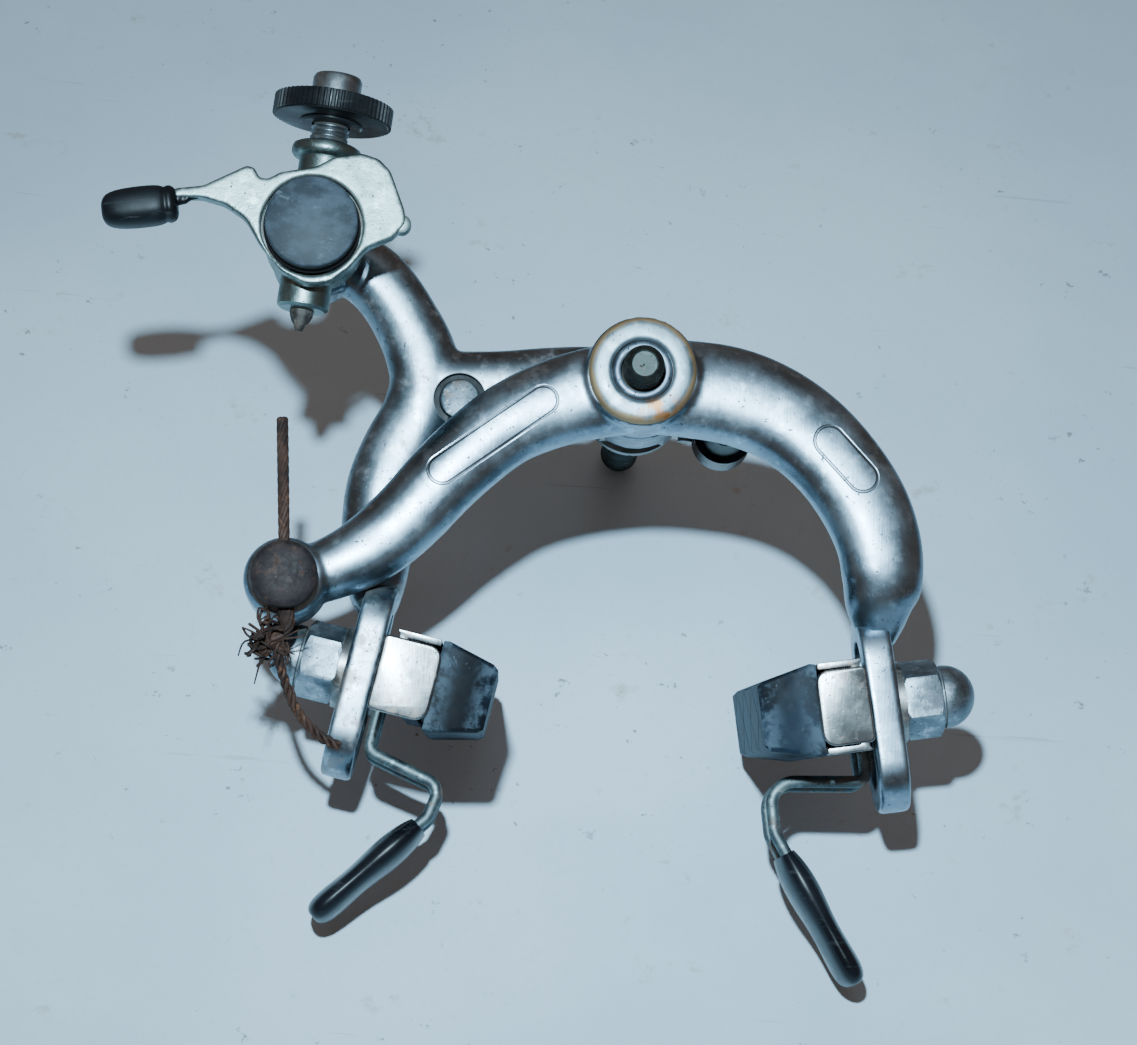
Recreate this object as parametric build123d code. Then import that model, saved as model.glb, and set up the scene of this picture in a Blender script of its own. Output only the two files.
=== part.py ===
"""Side-pull rim brake caliper, built as an assembly of separate pieces.

Frame: millimetres, +Z up, +X to the right and +Y from the front of the caliper to the frame
it is bolted to.  The origin is on the pivot bolt axis, on the face that seats on the frame.
"""
from build123d import *
import math
import os

os.makedirs("parts", exist_ok=True)

# ---- pivot stack, front to rear (y positions) ----
BOLT_D = 6.0                 # M6 pivot bolt
BOLT_FRONT, BOLT_REAR = -35.0, 45.0
RING_Y = (-30.4, -29.05)     # chromed front ring
FRONT_ARM_Y = (-29.0, -18.6)
MID_WASHER_Y = (-18.55, -17.85)
REAR_ARM_Y = (-17.8, -8.8)
REAR_WASHER_Y = (-8.75, -8.05)
BLOCK_Y = (-8.0, -2.0)
SERRATED_Y = (-2.0, 0.0)
EYE_R = 8.0                  # pivot eyes of both arms
EYE_BORE = 8.8
BUSH_OD, BUSH_ID = 8.7, 6.1

# ---- arms ----
FRONT_Y, REAR_Y = -24.0, -13.0       # mid planes of the two arms
ARM_DEPTH = 8.9
LOOP_Y = -18.0                       # both slotted loops end in this plane
LOOP_TILT = 10.7                     # loops lean out towards the bottom, degrees
LOOP_MID = (38.15, -46.5)            # middle of the right loop, x and z
LOOP_SEP = 15.0                      # between the end arcs of the slot
LOOP_BAR = 4.0                       # width of the bar along y
LOOP_THICK = 4.6
SLOT_W = 6.2

# ---- shoes ----
POST_AT = (37.9, -45.2)              # right pad post where it crosses its loop
NOSE_DOWN = 4.0                      # front of each shoe sits lower, degrees
PAD_LEN = 44.0
PAD_FACE = -19.4                     # braking face, distance from the loop centre
HOLDER_H = 13.0
NUT_AF = 10.0
GUIDE_R = 0.9                        # wheel guide wire
GUIDE_X = -3.9                       # guide wire lies between holder and washer
HOLDER_X = (-10.95, -4.85)           # open edge and back of the pad holder
SHOE_WASHER = 0.6                    # thickness of the washer inside the loop
GUIDE_HALF = 4.2                     # half the distance between its two legs

# ---- cable side ----
ANCHOR = (-49.6, -33.4)
HANGER = (-49.0, 17.1)
HANGER_LEAN = 4.8                    # stop tube leans right at the top, degrees
TUBE_Y = -28.0
DISC_R = 6.9
LEVER_STOP = (-35.6, 17.7)


# ------------------------------------------------------------------ helpers
def rod_y(radius, y0, y1, x=0.0, z=0.0):
    """Solid rod along Y."""
    return Pos(x, (y0 + y1) / 2, z) * Rot(90, 0, 0) * Cylinder(radius, y1 - y0)


def ring_y(outer, inner, y0, y1, x=0.0, z=0.0):
    """Tube along Y."""
    return rod_y(outer, y0, y1, x, z) - rod_y(inner, y0 - 1, y1 + 1, x, z)


def rod_x(radius, x0, x1, y=0.0, z=0.0):
    """Solid rod along X."""
    return Pos((x0 + x1) / 2, y, z) * Rot(0, 90, 0) * Cylinder(radius, x1 - x0)


def rod_z(radius, z0, z1, x=0.0, y=0.0):
    """Solid rod along Z."""
    return Pos(x, y, (z0 + z1) / 2) * Cylinder(radius, z1 - z0)


def block(x0, x1, y0, y1, z0, z1):
    """Box given by its limits."""
    return Pos((x0 + x1) / 2, (y0 + y1) / 2, (z0 + z1) / 2) * Box(x1 - x0, y1 - y0, z1 - z0)


def hexagon_y(across_flats, y0, y1, x=0.0, z=0.0):
    """Hexagonal prism along Y."""
    shape = RegularPolygon(across_flats / 2, 6, major_radius=False)
    return extrude(Plane(origin=(x, y0, z), x_dir=(1, 0, 0), z_dir=(0, 1, 0)) * shape, y1 - y0)


def hexagon_x(across_flats, x0, x1):
    """Hexagonal prism along X with one flat facing -Y."""
    shape = RegularPolygon(across_flats / 2, 6, major_radius=False, rotation=30)
    return extrude(Plane(origin=(x0, 0, 0), x_dir=(0, 0, 1), z_dir=(1, 0, 0)) * shape, x1 - x0)


def oval(width, depth):
    """Closed oval outline, a little squarer than an ellipse."""
    power = 2.0 / 2.35
    points = []
    for i in range(16):
        a = 2 * math.pi * i / 16
        c, s = math.cos(a), math.sin(a)
        points.append((width / 2 * math.copysign(abs(c) ** power, c),
                       depth / 2 * math.copysign(abs(s) ** power, s)))
    return make_face(Spline(*points, periodic=True))


def limb(stations):
    """Forged limb through stations of (x, z, width, y, depth)."""
    sections = []
    for i, (x, z, width, y, depth) in enumerate(stations):
        a = stations[max(i - 1, 0)]
        b = stations[min(i + 1, len(stations) - 1)]
        run = Vector(b[0] - a[0], 0, b[1] - a[1]).normalized()
        across = Vector(run.Z, 0, -run.X)
        sections.append(Plane(origin=(x, y, z), x_dir=across, z_dir=run) * oval(width, depth))
    return loft(sections)


def wire(points, radius):
    """Round wire along a smooth line through points."""
    path = Spline(*points)
    start = Plane(origin=path @ 0, z_dir=path % 0)
    return sweep(start * Circle(radius), path=path)


def bent_wire(points, radius, bend):
    """Round wire with straight runs and rounded bends."""
    path = FilletPolyline(*points, radius=bend)
    start = Plane(origin=path @ 0, z_dir=path % 0)
    return sweep(start * Circle(radius), path=path)


def on_right(shape):
    """Put a piece drawn about the post onto the right loop."""
    return Pos(POST_AT[0], LOOP_Y, POST_AT[1]) * Rot(0, -LOOP_TILT, 0) * shape


def on_left(shape):
    """Mirror image of the right shoe."""
    return mirror(on_right(shape), about=Plane.YZ)


def on_hanger(shape):
    """Put a piece drawn about the hanger axis, tube along Z, in its place."""
    return Pos(HANGER[0], 0, HANGER[1]) * Rot(0, HANGER_LEAN, 0) * shape


# ------------------------------------------------------------------ arms
def slotted_loop():
    """Closed loop for the right pad post, in assembly coordinates."""
    plane = Plane(origin=(-LOOP_THICK / 2, 0, 0), x_dir=(0, 0, -1), z_dir=(1, 0, 0))
    outer = extrude(plane * SlotCenterToCenter(LOOP_SEP, SLOT_W + 2 * LOOP_BAR), LOOP_THICK)
    outer = fillet(outer.edges().filter_by(lambda e: abs(e.center().X) > LOOP_THICK / 2 - 0.01), 1.6)
    slot = extrude(plane * SlotCenterToCenter(LOOP_SEP, SLOT_W), LOOP_THICK)
    shape = outer - slot
    return Pos(LOOP_MID[0], LOOP_Y, LOOP_MID[1]) * Rot(0, -LOOP_TILT, 0) * shape


def slot_space():
    """Room that has to stay open for the post, longer than the loop is thick."""
    plane = Plane(origin=(-8, 0, 0), x_dir=(0, 0, -1), z_dir=(1, 0, 0))
    space = extrude(plane * SlotCenterToCenter(LOOP_SEP, SLOT_W), 16)
    return Pos(LOOP_MID[0], LOOP_Y, LOOP_MID[1]) * Rot(0, -LOOP_TILT, 0) * space


def front_arm():
    f, d = FRONT_Y, ARM_DEPTH
    body = limb([(-49.6, -33.4, 8.6, f, d - 0.6), (-45.6, -32.0, 9.0, f, d - 0.4), (-42.0, -30.4, 9.4, f, d),
                 (-38.4, -28.2, 10.2, f, d), (-35.1, -25.3, 10.7, f, d), (-31.8, -21.7, 11.0, f, d),
                 (-28.3, -17.3, 11.3, f, d), (-24.2, -12.8, 11.6, f, d), (-19.3, -8.4, 12.0, f, d),
                 (-13.8, -5.3, 12.7, f, d), (-7.6, -3.0, 13.4, f, d), (0.0, -1.4, 14.0, f, d),
                 (8.1, -1.3, 14.4, f, d), (14.1, -2.0, 14.4, f, d), (19.8, -3.9, 14.0, f, d),
                 (25.1, -7.1, 13.6, f, d), (29.9, -11.6, 13.2, f, d), (33.8, -17.0, 13.0, f, d),
                 (36.1, -22.4, 12.4, f, d), (37.1, -27.6, 11.6, -23.5, d + 0.2), (37.0, -31.6, 9.8, -22.2, d + 1.2),
                 (36.7, -35.0, 7.2, -20.4, d + 2.2), (36.4, -37.8, 4.4, -19.0, d + 3.0)])
    boss = rod_y(EYE_R, *FRONT_ARM_Y)
    boss = fillet(boss.edges().filter_by(GeomType.CIRCLE).sort_by(Axis.Y)[0], 1.0)
    eye = rod_y(5.8, -28.6, -19.6, *ANCHOR)
    eye = fillet(eye.edges().filter_by(GeomType.CIRCLE), 1.2)
    arm = body + slotted_loop() + boss + eye
    arm -= slot_space()
    arm -= rod_y(EYE_BORE / 2, -40, 0)
    arm -= rod_y(2.6, -40, 0, *ANCHOR)
    arm -= block(-9, 9, -18.6, 0, -9, 9)
    post = RIGHT_POST
    arm -= rod_y(2.5, -25.0, 0, *post)
    return arm


def rear_arm():
    r, d = REAR_Y, ARM_DEPTH - 0.2
    run = limb([(0.0, 0.0, 13.0, r - 0.3, d - 0.3), (-7.5, -0.1, 12.6, r - 0.2, d - 0.2), (-14.0, -0.4, 12.0, r, d),
                (-20.0, -0.7, 10.9, r, d), (-25.5, -0.8, 10.2, r, d), (-31.0, -0.6, 9.4, r, d - 0.4)])
    fork = limb([(-48.2, 17.1, 9.0, r, d - 0.6), (-44.5, 16.6, 9.6, r, d - 0.3), (-41.0, 15.1, 10.0, r, d),
                 (-38.0, 12.4, 10.0, r, d), (-35.3, 8.7, 10.1, r, d), (-32.8, 4.2, 10.6, r, d),
                 (-31.4, -0.8, 11.0, r, d), (-32.2, -6.0, 11.4, r, d), (-34.6, -11.2, 11.5, r, d),
                 (-36.5, -16.5, 11.3, r, d), (-37.1, -21.8, 11.0, r, d), (-37.1, -27.0, 10.4, -13.4, d),
                 (-36.9, -31.4, 9.0, -14.4, d + 0.6), (-36.6, -35.0, 6.8, -15.8, d + 1.6),
                 (-36.4, -37.8, 4.4, -17.0, d + 2.6)])
    boss = rod_y(EYE_R, *REAR_ARM_Y)
    eye = rod_y(6.6, -17.2, -8.9, *HANGER)
    eye = fillet(eye.edges().filter_by(GeomType.CIRCLE), 1.0)
    arm = run + fork + mirror(slotted_loop(), about=Plane.YZ) + boss + eye
    arm -= mirror(slot_space(), about=Plane.YZ)
    arm -= rod_y(EYE_BORE / 2, -40, 0)
    arm -= rod_y(4.1, -40, 0, *HANGER)
    arm -= rod_y(2.5, -40, 0, *LEFT_POST)
    arm -= rod_y(3.75, -40, REAR_Y - d / 2 + 1.3, *LEFT_POST)
    arm -= ring_y(12, EYE_R + 0.01, REAR_ARM_Y[1], 0)
    return arm


# ------------------------------------------------------------------ pivot stack
LEFT_POST = (-26.3, -3.6)
RIGHT_POST = (13.6, -5.0)


def pivot_bolt():
    r = BOLT_D / 2
    bolt = rod_y(r, BOLT_FRONT, BOLT_REAR)
    bolt = chamfer(bolt.edges().filter_by(GeomType.CIRCLE), 0.9)
    bolt -= ring_y(r + 1, r - 0.25, RING_Y[0], RING_Y[0] + 0.6)     # thread run-out behind the free thread
    return bolt - ring_y(r + 1, r - 0.25, -1.2, -0.5)               # run-out in front of the rear shank


def front_ring():
    ring = rod_y(7.85, *RING_Y)
    ring = fillet(ring.edges().filter_by(GeomType.CIRCLE).sort_by(Axis.Y)[0], 0.7)
    return ring - rod_y(4.4, -40, 0)


def bush():
    return ring_y(BUSH_OD / 2, BUSH_ID / 2, RING_Y[0] + 0.15, REAR_ARM_Y[1] - 0.05)


def spring_block():
    body = block(-6.0, 6.0, *BLOCK_Y, -6.0, 7.0)
    body = chamfer(body.edges().filter_by(Axis.Y), 1.2)
    body -= rod_y(BOLT_D / 2 + 0.05, -12, 2)
    return body - block(-7, 7, -6.2, -3.8, 4.2, 8)


def serrated_washer():
    washer = ring_y(7.6, BOLT_D / 2 + 0.05, *SERRATED_Y)
    for i in range(12):
        washer -= Rot(0, i * 30, 0) * Pos(6.5, 0.0, 0) * Rot(45, 0, 0) * Box(3.4, 0.7, 0.7)
    return washer - rod_y(4.1, -0.8, 1.0)     # relief round the bolt hole


def return_spring():
    """One wire held in the top of the block, its legs bearing on the two post sleeves."""
    y = -5.0
    r = 1.1
    left, right = LEFT_POST, RIGHT_POST
    drop = 4.45 + r + 0.05
    points = [(left[0] - 6.0, y, left[1] - drop + 0.8), (left[0], y, left[1] - drop), (-13.0, y, -7.4),
              (-8.6, y, 5.4), (right[0] - drop, y, 5.4), (right[0] - drop, y, right[1] - 0.8)]
    path = FilletPolyline(*points, radius=[2.0, 3.0, 1.4, 1.4])
    start = Plane(origin=path @ 0, z_dir=path % 0)
    return sweep(start * Circle(r), path=path)


def left_spring_post():
    x, z = LEFT_POST
    head_y = REAR_Y - ARM_DEPTH / 2 + 0.1
    post = rod_y(3.55, head_y, head_y + 1.2, x, z)
    post = fillet(post.edges().filter_by(GeomType.CIRCLE).sort_by(Axis.Y)[0], 0.5)
    return post + rod_y(2.5, head_y + 1, -1.4, x, z) + rod_y(3.3, -2.4, -1.4, x, z)


def right_spring_post():
    x, z = RIGHT_POST
    post = rod_y(2.5, -24.9, -1.6, x, z) + rod_y(3.4, -18.5, -9.2, x, z) + rod_y(3.3, -2.4, -1.4, x, z)
    return post - block(x - 5, x + 5, -1.9, -1.0, z - 0.4, z + 0.4)


def post_sleeve(post, y0):
    return ring_y(4.45, 2.55, y0, -2.45, *post)


# ------------------------------------------------------------------ shoes (right-hand side, about the post)
def nose_down(shape):
    return Rot(NOSE_DOWN, 0, 0) * shape


def pad_holder():
    """Pressed steel channel, closed at the front, with the threaded post in its back."""
    h, t = HOLDER_H / 2, 1.1
    y0, y1 = -PAD_LEN / 2 - 0.6, PAD_LEN / 2
    edge, back = HOLDER_X
    shell = block(edge, back, y0, y1, -h, h)
    shell = fillet(shell.edges().filter_by(Axis.Y).group_by(Axis.X)[-1], 1.2)
    shell -= block(edge - 1, back - t, y0 + t, y1 + 2, -h + t, h - t)
    shell += block(edge, edge + 0.9, y0 + 0.3, y1, h - 2.0, h)
    shell += block(edge, edge + 0.9, y0 + 0.3, y1, -h, -h + 2.0)
    for side in (-1, 1):
        z0, z1 = sorted((side * (h - 1.7), side * (h - 1.3)))
        shell -= block(edge - 1, back - 0.9, y0 - 1, y0 + t + 0.1, z0, z1)
    return nose_down(shell)


def pad_post():
    """Threaded post riveted in the back of the holder."""
    inside = HOLDER_X[1] - 1.12
    post = rod_x(BOLT_D / 2, inside - 0.9, 10.4)
    post = chamfer(post.edges().filter_by(GeomType.CIRCLE).sort_by(Axis.X)[-1], 0.8)
    return post + rod_x(4.4, inside - 1.38, inside)


def brake_pad():
    """Rubber block with a tapering body and crossed grooves in the braking face."""
    h, edge = HOLDER_H / 2, HOLDER_X[0]
    root, step, lip = edge + 3.4, edge + 1.05, edge - 0.15
    outline = Polyline((root, h - 1.2), (step, h - 1.2), (step, h - 2.1), (lip, h - 2.1), (lip, h - 0.1),
                       (PAD_FACE + 1.0, 5.0), (PAD_FACE, 4.4), (PAD_FACE, -4.4), (PAD_FACE + 1.0, -5.0),
                       (lip, -h + 0.1), (lip, -h + 2.1), (step, -h + 2.1), (step, -h + 1.2),
                       (root, -h + 1.2), close=True)
    plane = Plane(origin=(0, -PAD_LEN / 2 + 0.7, 0), x_dir=(1, 0, 0), z_dir=(0, -1, 0))
    pad = extrude(plane * make_face(outline), -(PAD_LEN - 1.4))
    for i in range(6):
        y = -PAD_LEN / 2 + 4.5 + 7.0 * i
        for turn in (45, -45):
            pad -= Pos(PAD_FACE, y, 0) * Rot(turn, 0, 0) * Box(1.4, 20, 0.7)
    return nose_down(pad)


def shoe_washer():
    t = SHOE_WASHER
    return Pos(-2.35 - t / 2, 0, 0) * Rot(0, 90, 0) * (Cylinder(6.0, t) - Cylinder(3.05, 3))


def nut_washer():
    return Pos(2.35 + 0.5, 0, 0) * Rot(0, 90, 0) * (Cylinder(6.0, 1.0) - Cylinder(3.05, 3))


def acorn_nut():
    base = hexagon_x(NUT_AF, 3.4, 8.9) & rod_x(5.6, 3.4, 8.9)
    neck = rod_x(4.65, 8.9, 9.6)
    dome = (Pos(9.5, 0, 0) * Sphere(4.6)) & block(9.5, 20, -6, 6, -6, 6)
    return base + neck + dome - rod_x(3.05, 3.0, 11.0)


def guide_points(side):
    """Corners of one leg of a wheel guide (x, z); the two sides are bent differently."""
    if side > 0:
        return [(36.2, -57.0), (22.0, -57.8), (23.2, -65.2), (35.0, -84.0)]
    return [(-36.2, -57.0), (-25.4, -61.4), (-27.0, -66.0), (-40.9, -79.5)]


def wheel_guide(side):
    """Wire hooked over the post and bent in, down and out again as two parallel legs."""
    c, s = math.cos(math.radians(LOOP_TILT)), math.sin(math.radians(LOOP_TILT))
    top = (side * (POST_AT[0] + GUIDE_X * c), POST_AT[1] + GUIDE_X * s)
    points = [top] + guide_points(side)
    bends = [1.6, 3.4, 3.0] if side > 0 else [1.6, 2.2, 2.2]
    bottom = points[-1]
    place = on_right if side > 0 else on_left
    hook = Pos(GUIDE_X, 0, 0) * (Rot(0, 90, 0) * Torus(GUIDE_HALF, GUIDE_R) & block(-3, 3, -8, 8, 0, 8))
    guide = place(hook) + rod_y(GUIDE_R, LOOP_Y - GUIDE_HALF, LOOP_Y + GUIDE_HALF, *bottom)
    for y in (LOOP_Y - GUIDE_HALF, LOOP_Y + GUIDE_HALF):
        guide += bent_wire([(x, y, z) for x, z in points], GUIDE_R, bends)
        guide += Pos(bottom[0], y, bottom[1]) * Sphere(GUIDE_R)
    return guide


def guide_sleeve(side):
    """Moulded black sleeve over both legs of a guide."""
    a, b = guide_points(side)[-2:]
    length = math.hypot(b[0] - a[0], b[1] - a[1])
    run = Vector((b[0] - a[0]) / length, 0, (b[1] - a[1]) / length)
    across = Vector(run.Z, 0, -run.X)
    first = 3.4 if side > 0 else 1.8
    sections = []
    for t, width, depth in [(first, 3.0, 11.4), (first + 2, 4.0, 12.6), (length * 0.55, 4.3, 13.4),
                            (length - 1.5, 4.2, 13.0), (length + 1.4, 3.6, 11.6), (length + 2.4, 1.6, 8.0)]:
        origin = (a[0] + run.X * t, LOOP_Y, a[1] + run.Z * t)
        sections.append(Plane(origin=origin, x_dir=across, z_dir=run) * oval(width, depth))
    sleeve, bore = loft(sections), GUIDE_R + 0.06
    for y in (LOOP_Y - GUIDE_HALF, LOOP_Y + GUIDE_HALF):
        start = Plane(origin=(a[0] + run.X, y, a[1] + run.Z), z_dir=run)
        sleeve -= extrude(start * Circle(bore), length - 1)
        sleeve -= Pos(b[0], y, b[1]) * Sphere(bore)
    return sleeve - rod_y(bore, LOOP_Y - GUIDE_HALF, LOOP_Y + GUIDE_HALF, *b)


# ------------------------------------------------------------------ cable side
def anchor_bolt():
    head = rod_y(4.8, -34.0, -31.3, *ANCHOR)
    head = fillet(head.edges().filter_by(GeomType.CIRCLE).sort_by(Axis.Y)[0], 0.9)
    bolt = head + rod_y(3.2, -31.4, -28.7, *ANCHOR) + rod_y(2.5, -29.0, -12.6, *ANCHOR)
    return bolt - cable_line(0.85, 40)


def cable_line(radius, extra=0.0):
    """Straight length of the brake cable through the anchor bolt."""
    x, z = ANCHOR
    lean = 4.8
    low, high = -5.4 - extra, 22.8 + extra
    rod = rod_z(radius, low, high)
    return Pos(x, -30.0, z) * Rot(0, -lean, 0) * rod


def cable_strands():
    """Frayed ends of the cable below the anchor bolt, gathered in a knot."""
    x, z = ANCHOR
    knot = (x + 0.55, -30.0, z - 6.5)
    lines = [[(-1.6, -0.6, -2.4), (-3.4, -0.6, -4.0), (-4.4, 0.2, -3.2)],
             [(-0.6, 0.4, -2.6), (-2.0, 1.0, -5.2), (-3.2, 0.8, -6.0)],
             [(1.2, -0.2, -3.0), (3.4, -0.4, -8.0), (6.2, 0.4, -12.6), (8.6, 1.2, -17.0)]]
    strands = Pos(*knot) * Sphere(0.95)
    for line in lines:
        points = [(knot[0] + dx, knot[1] + dy, knot[2] + dz) for dx, dy, dz in [(0, 0, 0)] + line]
        strands += wire(points, 0.4)
    return strands


def hanger_body():
    """Turned body that carries the stop tube; its spigot passes through the rear arm."""
    body = rod_y(7.3, -33.9, -23.0) + rod_y(5.6, -23.1, -17.4) + rod_y(4.0, -17.5, -7.4)
    body += rod_y(3.0, -35.9, -33.8)
    body -= rod_z(3.88, -20, 20, 0, TUBE_Y)
    return on_hanger(body)


def hanger_clip():
    clip = ring_y(6.0, 4.05, -8.7, -7.8)
    return on_hanger(clip - block(-1.6, 1.6, -10, -6, -8, 0))


def hanger_disc():
    disc = rod_y(DISC_R, -38.6, -36.9) + rod_y(6.2, -37.0, -34.0)
    disc = fillet(disc.edges().filter_by(GeomType.CIRCLE).sort_by(Axis.Y)[0], 0.4)
    return on_hanger(disc - rod_y(3.04, -35.95, -30))


def release_lever():
    """Flat lever round the disc, with a folded edge on its arm."""
    arm = FilletPolyline((-50.0, 24.6), (-53.6, 23.6), (-56.6, 23.0), (-58.2, 24.9), (-64.9, 21.9), (-69.6, 19.6),
                         (-69.6, 17.4), (-61.9, 18.2), (-57.6, 15.0), (-53.0, 9.0), (-46.0, 14.0),
                         radius=[0.6, 1.2, 0.8, 0.5, 1.2, 0.5, 0.5, 4.0, 3.0, 0.8, 0.8], close=True)
    lobe = FilletPolyline((-50.0, 24.2), (-44.6, 27.4), (-40.4, 27.2), (-37.4, 24.4), (-35.4, 18.0),
                          (-36.4, 15.8), (-40.4, 14.0), (-44.4, 9.4), (-50.0, 9.0),
                          radius=[0.6, 2.0, 2.0, 2.4, 1.2, 1.2, 1.6, 1.6, 0.6], close=True)
    plane = Plane(origin=(0, -35.7, 0), x_dir=(1, 0, 0), z_dir=(0, -1, 0))
    plate = extrude(plane * make_face(arm), -1.7) + extrude(plane * make_face(lobe), -1.7)
    plate += rod_y(8.7, -35.7, -34.0, *HANGER)
    run = Vector(-64.4 + 58.4, 0, 22.1 - 24.7)
    lip = block(-run.length / 2, run.length / 2, -37.6, -34.0, -0.6, 0.6)
    lip = Pos(-61.5, 0, 23.0) * Rot(0, -math.degrees(math.atan2(2.6, 6.0)), 0) * lip
    plate += lip
    plate -= rod_y(1.48, -40, -30, *LEVER_STOP)
    return plate - rod_y(6.35, -40, -30, *HANGER)


def lever_stop():
    """Small bright rivet let into the right edge of the lever."""
    return rod_y(1.45, -36.1, -33.7, *LEVER_STOP)


def lever_grip():
    x, z = -74.6, 17.9
    sections = [(-5.6, 3.2, 3.0), (-4.7, 5.1, 4.8), (-1.9, 5.7, 5.6), (1.9, 5.7, 5.6), (4.2, 5.0, 4.8), (5.6, 2.6, 2.6)]
    shapes = []
    for t, height, depth in sections:
        shapes.append(Plane(origin=(t, 0, 0), x_dir=(0, 0, 1), z_dir=(1, 0, 0)) * oval(height, depth))
    body = Pos(x, -34.8, z) * Rot(0, -14, 0) * loft(shapes)
    return body - block(-69.9, -60, -35.8, -33.9, 14, 22)


def stop_tube():
    """Flanged tube that the adjuster screws into; it slides through the hanger body."""
    tube = rod_z(3.8, -11.2, 11.6) + rod_z(4.65, 11.5, 13.6)
    tube = chamfer(tube.edges().filter_by(GeomType.CIRCLE).sort_by(Axis.Z)[-1], 0.4)
    tube -= rod_z(2.85, -8.0, 20)
    tube -= rod_z(1.7, -20, 0)
    return on_hanger(Pos(0, TUBE_Y, 0) * tube)


def adjuster_liner():
    """Plain liner below the barrel; its tapered nose shows under the tube."""
    liner = rod_z(1.62, -12.2, -4.0) + Pos(0, 0, -13.8) * Cone(0.55, 1.62, 3.3)
    return on_hanger(Pos(0, TUBE_Y, 0) * (liner - rod_z(0.5, -20, 0)))


def adjuster_barrel():
    barrel = rod_z(2.8, -3.8, 19.5) + rod_z(3.6, 19.4, 24.0)
    barrel = chamfer(barrel.edges().filter_by(GeomType.CIRCLE).sort_by(Axis.Z)[-1], 0.4)
    barrel -= rod_z(2.55, 18.0, 30) + rod_z(1.2, -10, 20)
    for i in range(4):
        z = 13.9 + 0.75 * i
        barrel -= rod_z(4, z, z + 0.3) - rod_z(2.5, z - 1, z + 1)
    return on_hanger(Pos(0, TUBE_Y, 0) * barrel)


def thumbwheel():
    wheel = rod_z(8.7, 17.0, 20.2)
    wheel = chamfer(wheel.edges().filter_by(GeomType.CIRCLE), 0.4)
    teeth = None
    for i in range(36):
        a = math.radians(i * 10)
        tooth = Pos(8.75 * math.cos(a), 8.75 * math.sin(a), 18.6) * Rot(0, 0, i * 10 + 45) * Box(0.6, 0.6, 4)
        teeth = tooth if teeth is None else teeth + tooth
    wheel -= teeth
    wheel += rod_z(4.6, 16.4, 17.1)
    wheel -= rod_z(2.81, 10, 19.42) + rod_z(3.61, 19.38, 30)
    return on_hanger(Pos(0, TUBE_Y, 0) * wheel)


# ------------------------------------------------------------------ write the pieces
PIECES = {
    "front_arm": front_arm,
    "rear_arm": rear_arm,
    "pivot_bolt": pivot_bolt,
    "front_ring": front_ring,
    "pivot_bush": bush,
    "mid_washer": lambda: ring_y(7.5, 4.4, *MID_WASHER_Y),
    "rear_washer": lambda: ring_y(7.2, BOLT_D / 2 + 0.05, *REAR_WASHER_Y),
    "spring_block": spring_block,
    "serrated_washer": serrated_washer,
    "return_spring": return_spring,
    "left_spring_post": left_spring_post,
    "right_spring_post": right_spring_post,
    "left_post_sleeve": lambda: post_sleeve(LEFT_POST, -8.2),
    "right_post_sleeve": lambda: post_sleeve(RIGHT_POST, -9.1),
    "anchor_bolt": anchor_bolt,
    "anchor_washer": lambda: ring_y(5.0, 2.55, -19.5, -18.6, *ANCHOR),
    "anchor_nut": lambda: hexagon_y(8.0, -18.55, -14.2, *ANCHOR) - rod_y(2.55, -25, -5, *ANCHOR),
    "cable_stub": lambda: cable_line(0.8),
    "cable_strands": cable_strands,
    "hanger_body": hanger_body,
    "hanger_clip": hanger_clip,
    "hanger_disc": hanger_disc,
    "release_lever": release_lever,
    "lever_stop": lever_stop,
    "lever_grip": lever_grip,
    "stop_tube": stop_tube,
    "adjuster_liner": adjuster_liner,
    "adjuster_barrel": adjuster_barrel,
    "thumbwheel": thumbwheel,
}
for side, name, place in ((1, "right", on_right), (-1, "left", on_left)):
    PIECES[name + "_pad_holder"] = lambda place=place: place(pad_holder() - rod_x(3.05, -12, 0))
    PIECES[name + "_pad_post"] = lambda place=place: place(pad_post())
    PIECES[name + "_brake_pad"] = lambda place=place: place(brake_pad() - rod_x(4.6, HOLDER_X[0] + 3.3, 0))
    PIECES[name + "_shoe_washer"] = lambda place=place: place(shoe_washer())
    PIECES[name + "_nut_washer"] = lambda place=place: place(nut_washer())
    PIECES[name + "_acorn_nut"] = lambda place=place: place(acorn_nut())
    PIECES[name + "_wheel_guide"] = lambda side=side: wheel_guide(side)
    PIECES[name + "_guide_sleeve"] = lambda side=side: guide_sleeve(side)

for name, make in PIECES.items():
    export_step(make(), f"parts/{name}.step")
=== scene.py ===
"""Looks for the rim brake caliper: visual shapes, materials, light, floor and camera.

The frame is the CAD's own: +X right, +Y to the back, +Z up. Sizes are in millimetres unless a
comment says otherwise, and mm() makes them metres.
"""
import math
import random

import bmesh
import bpy
from mathutils import Matrix, Vector

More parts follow.
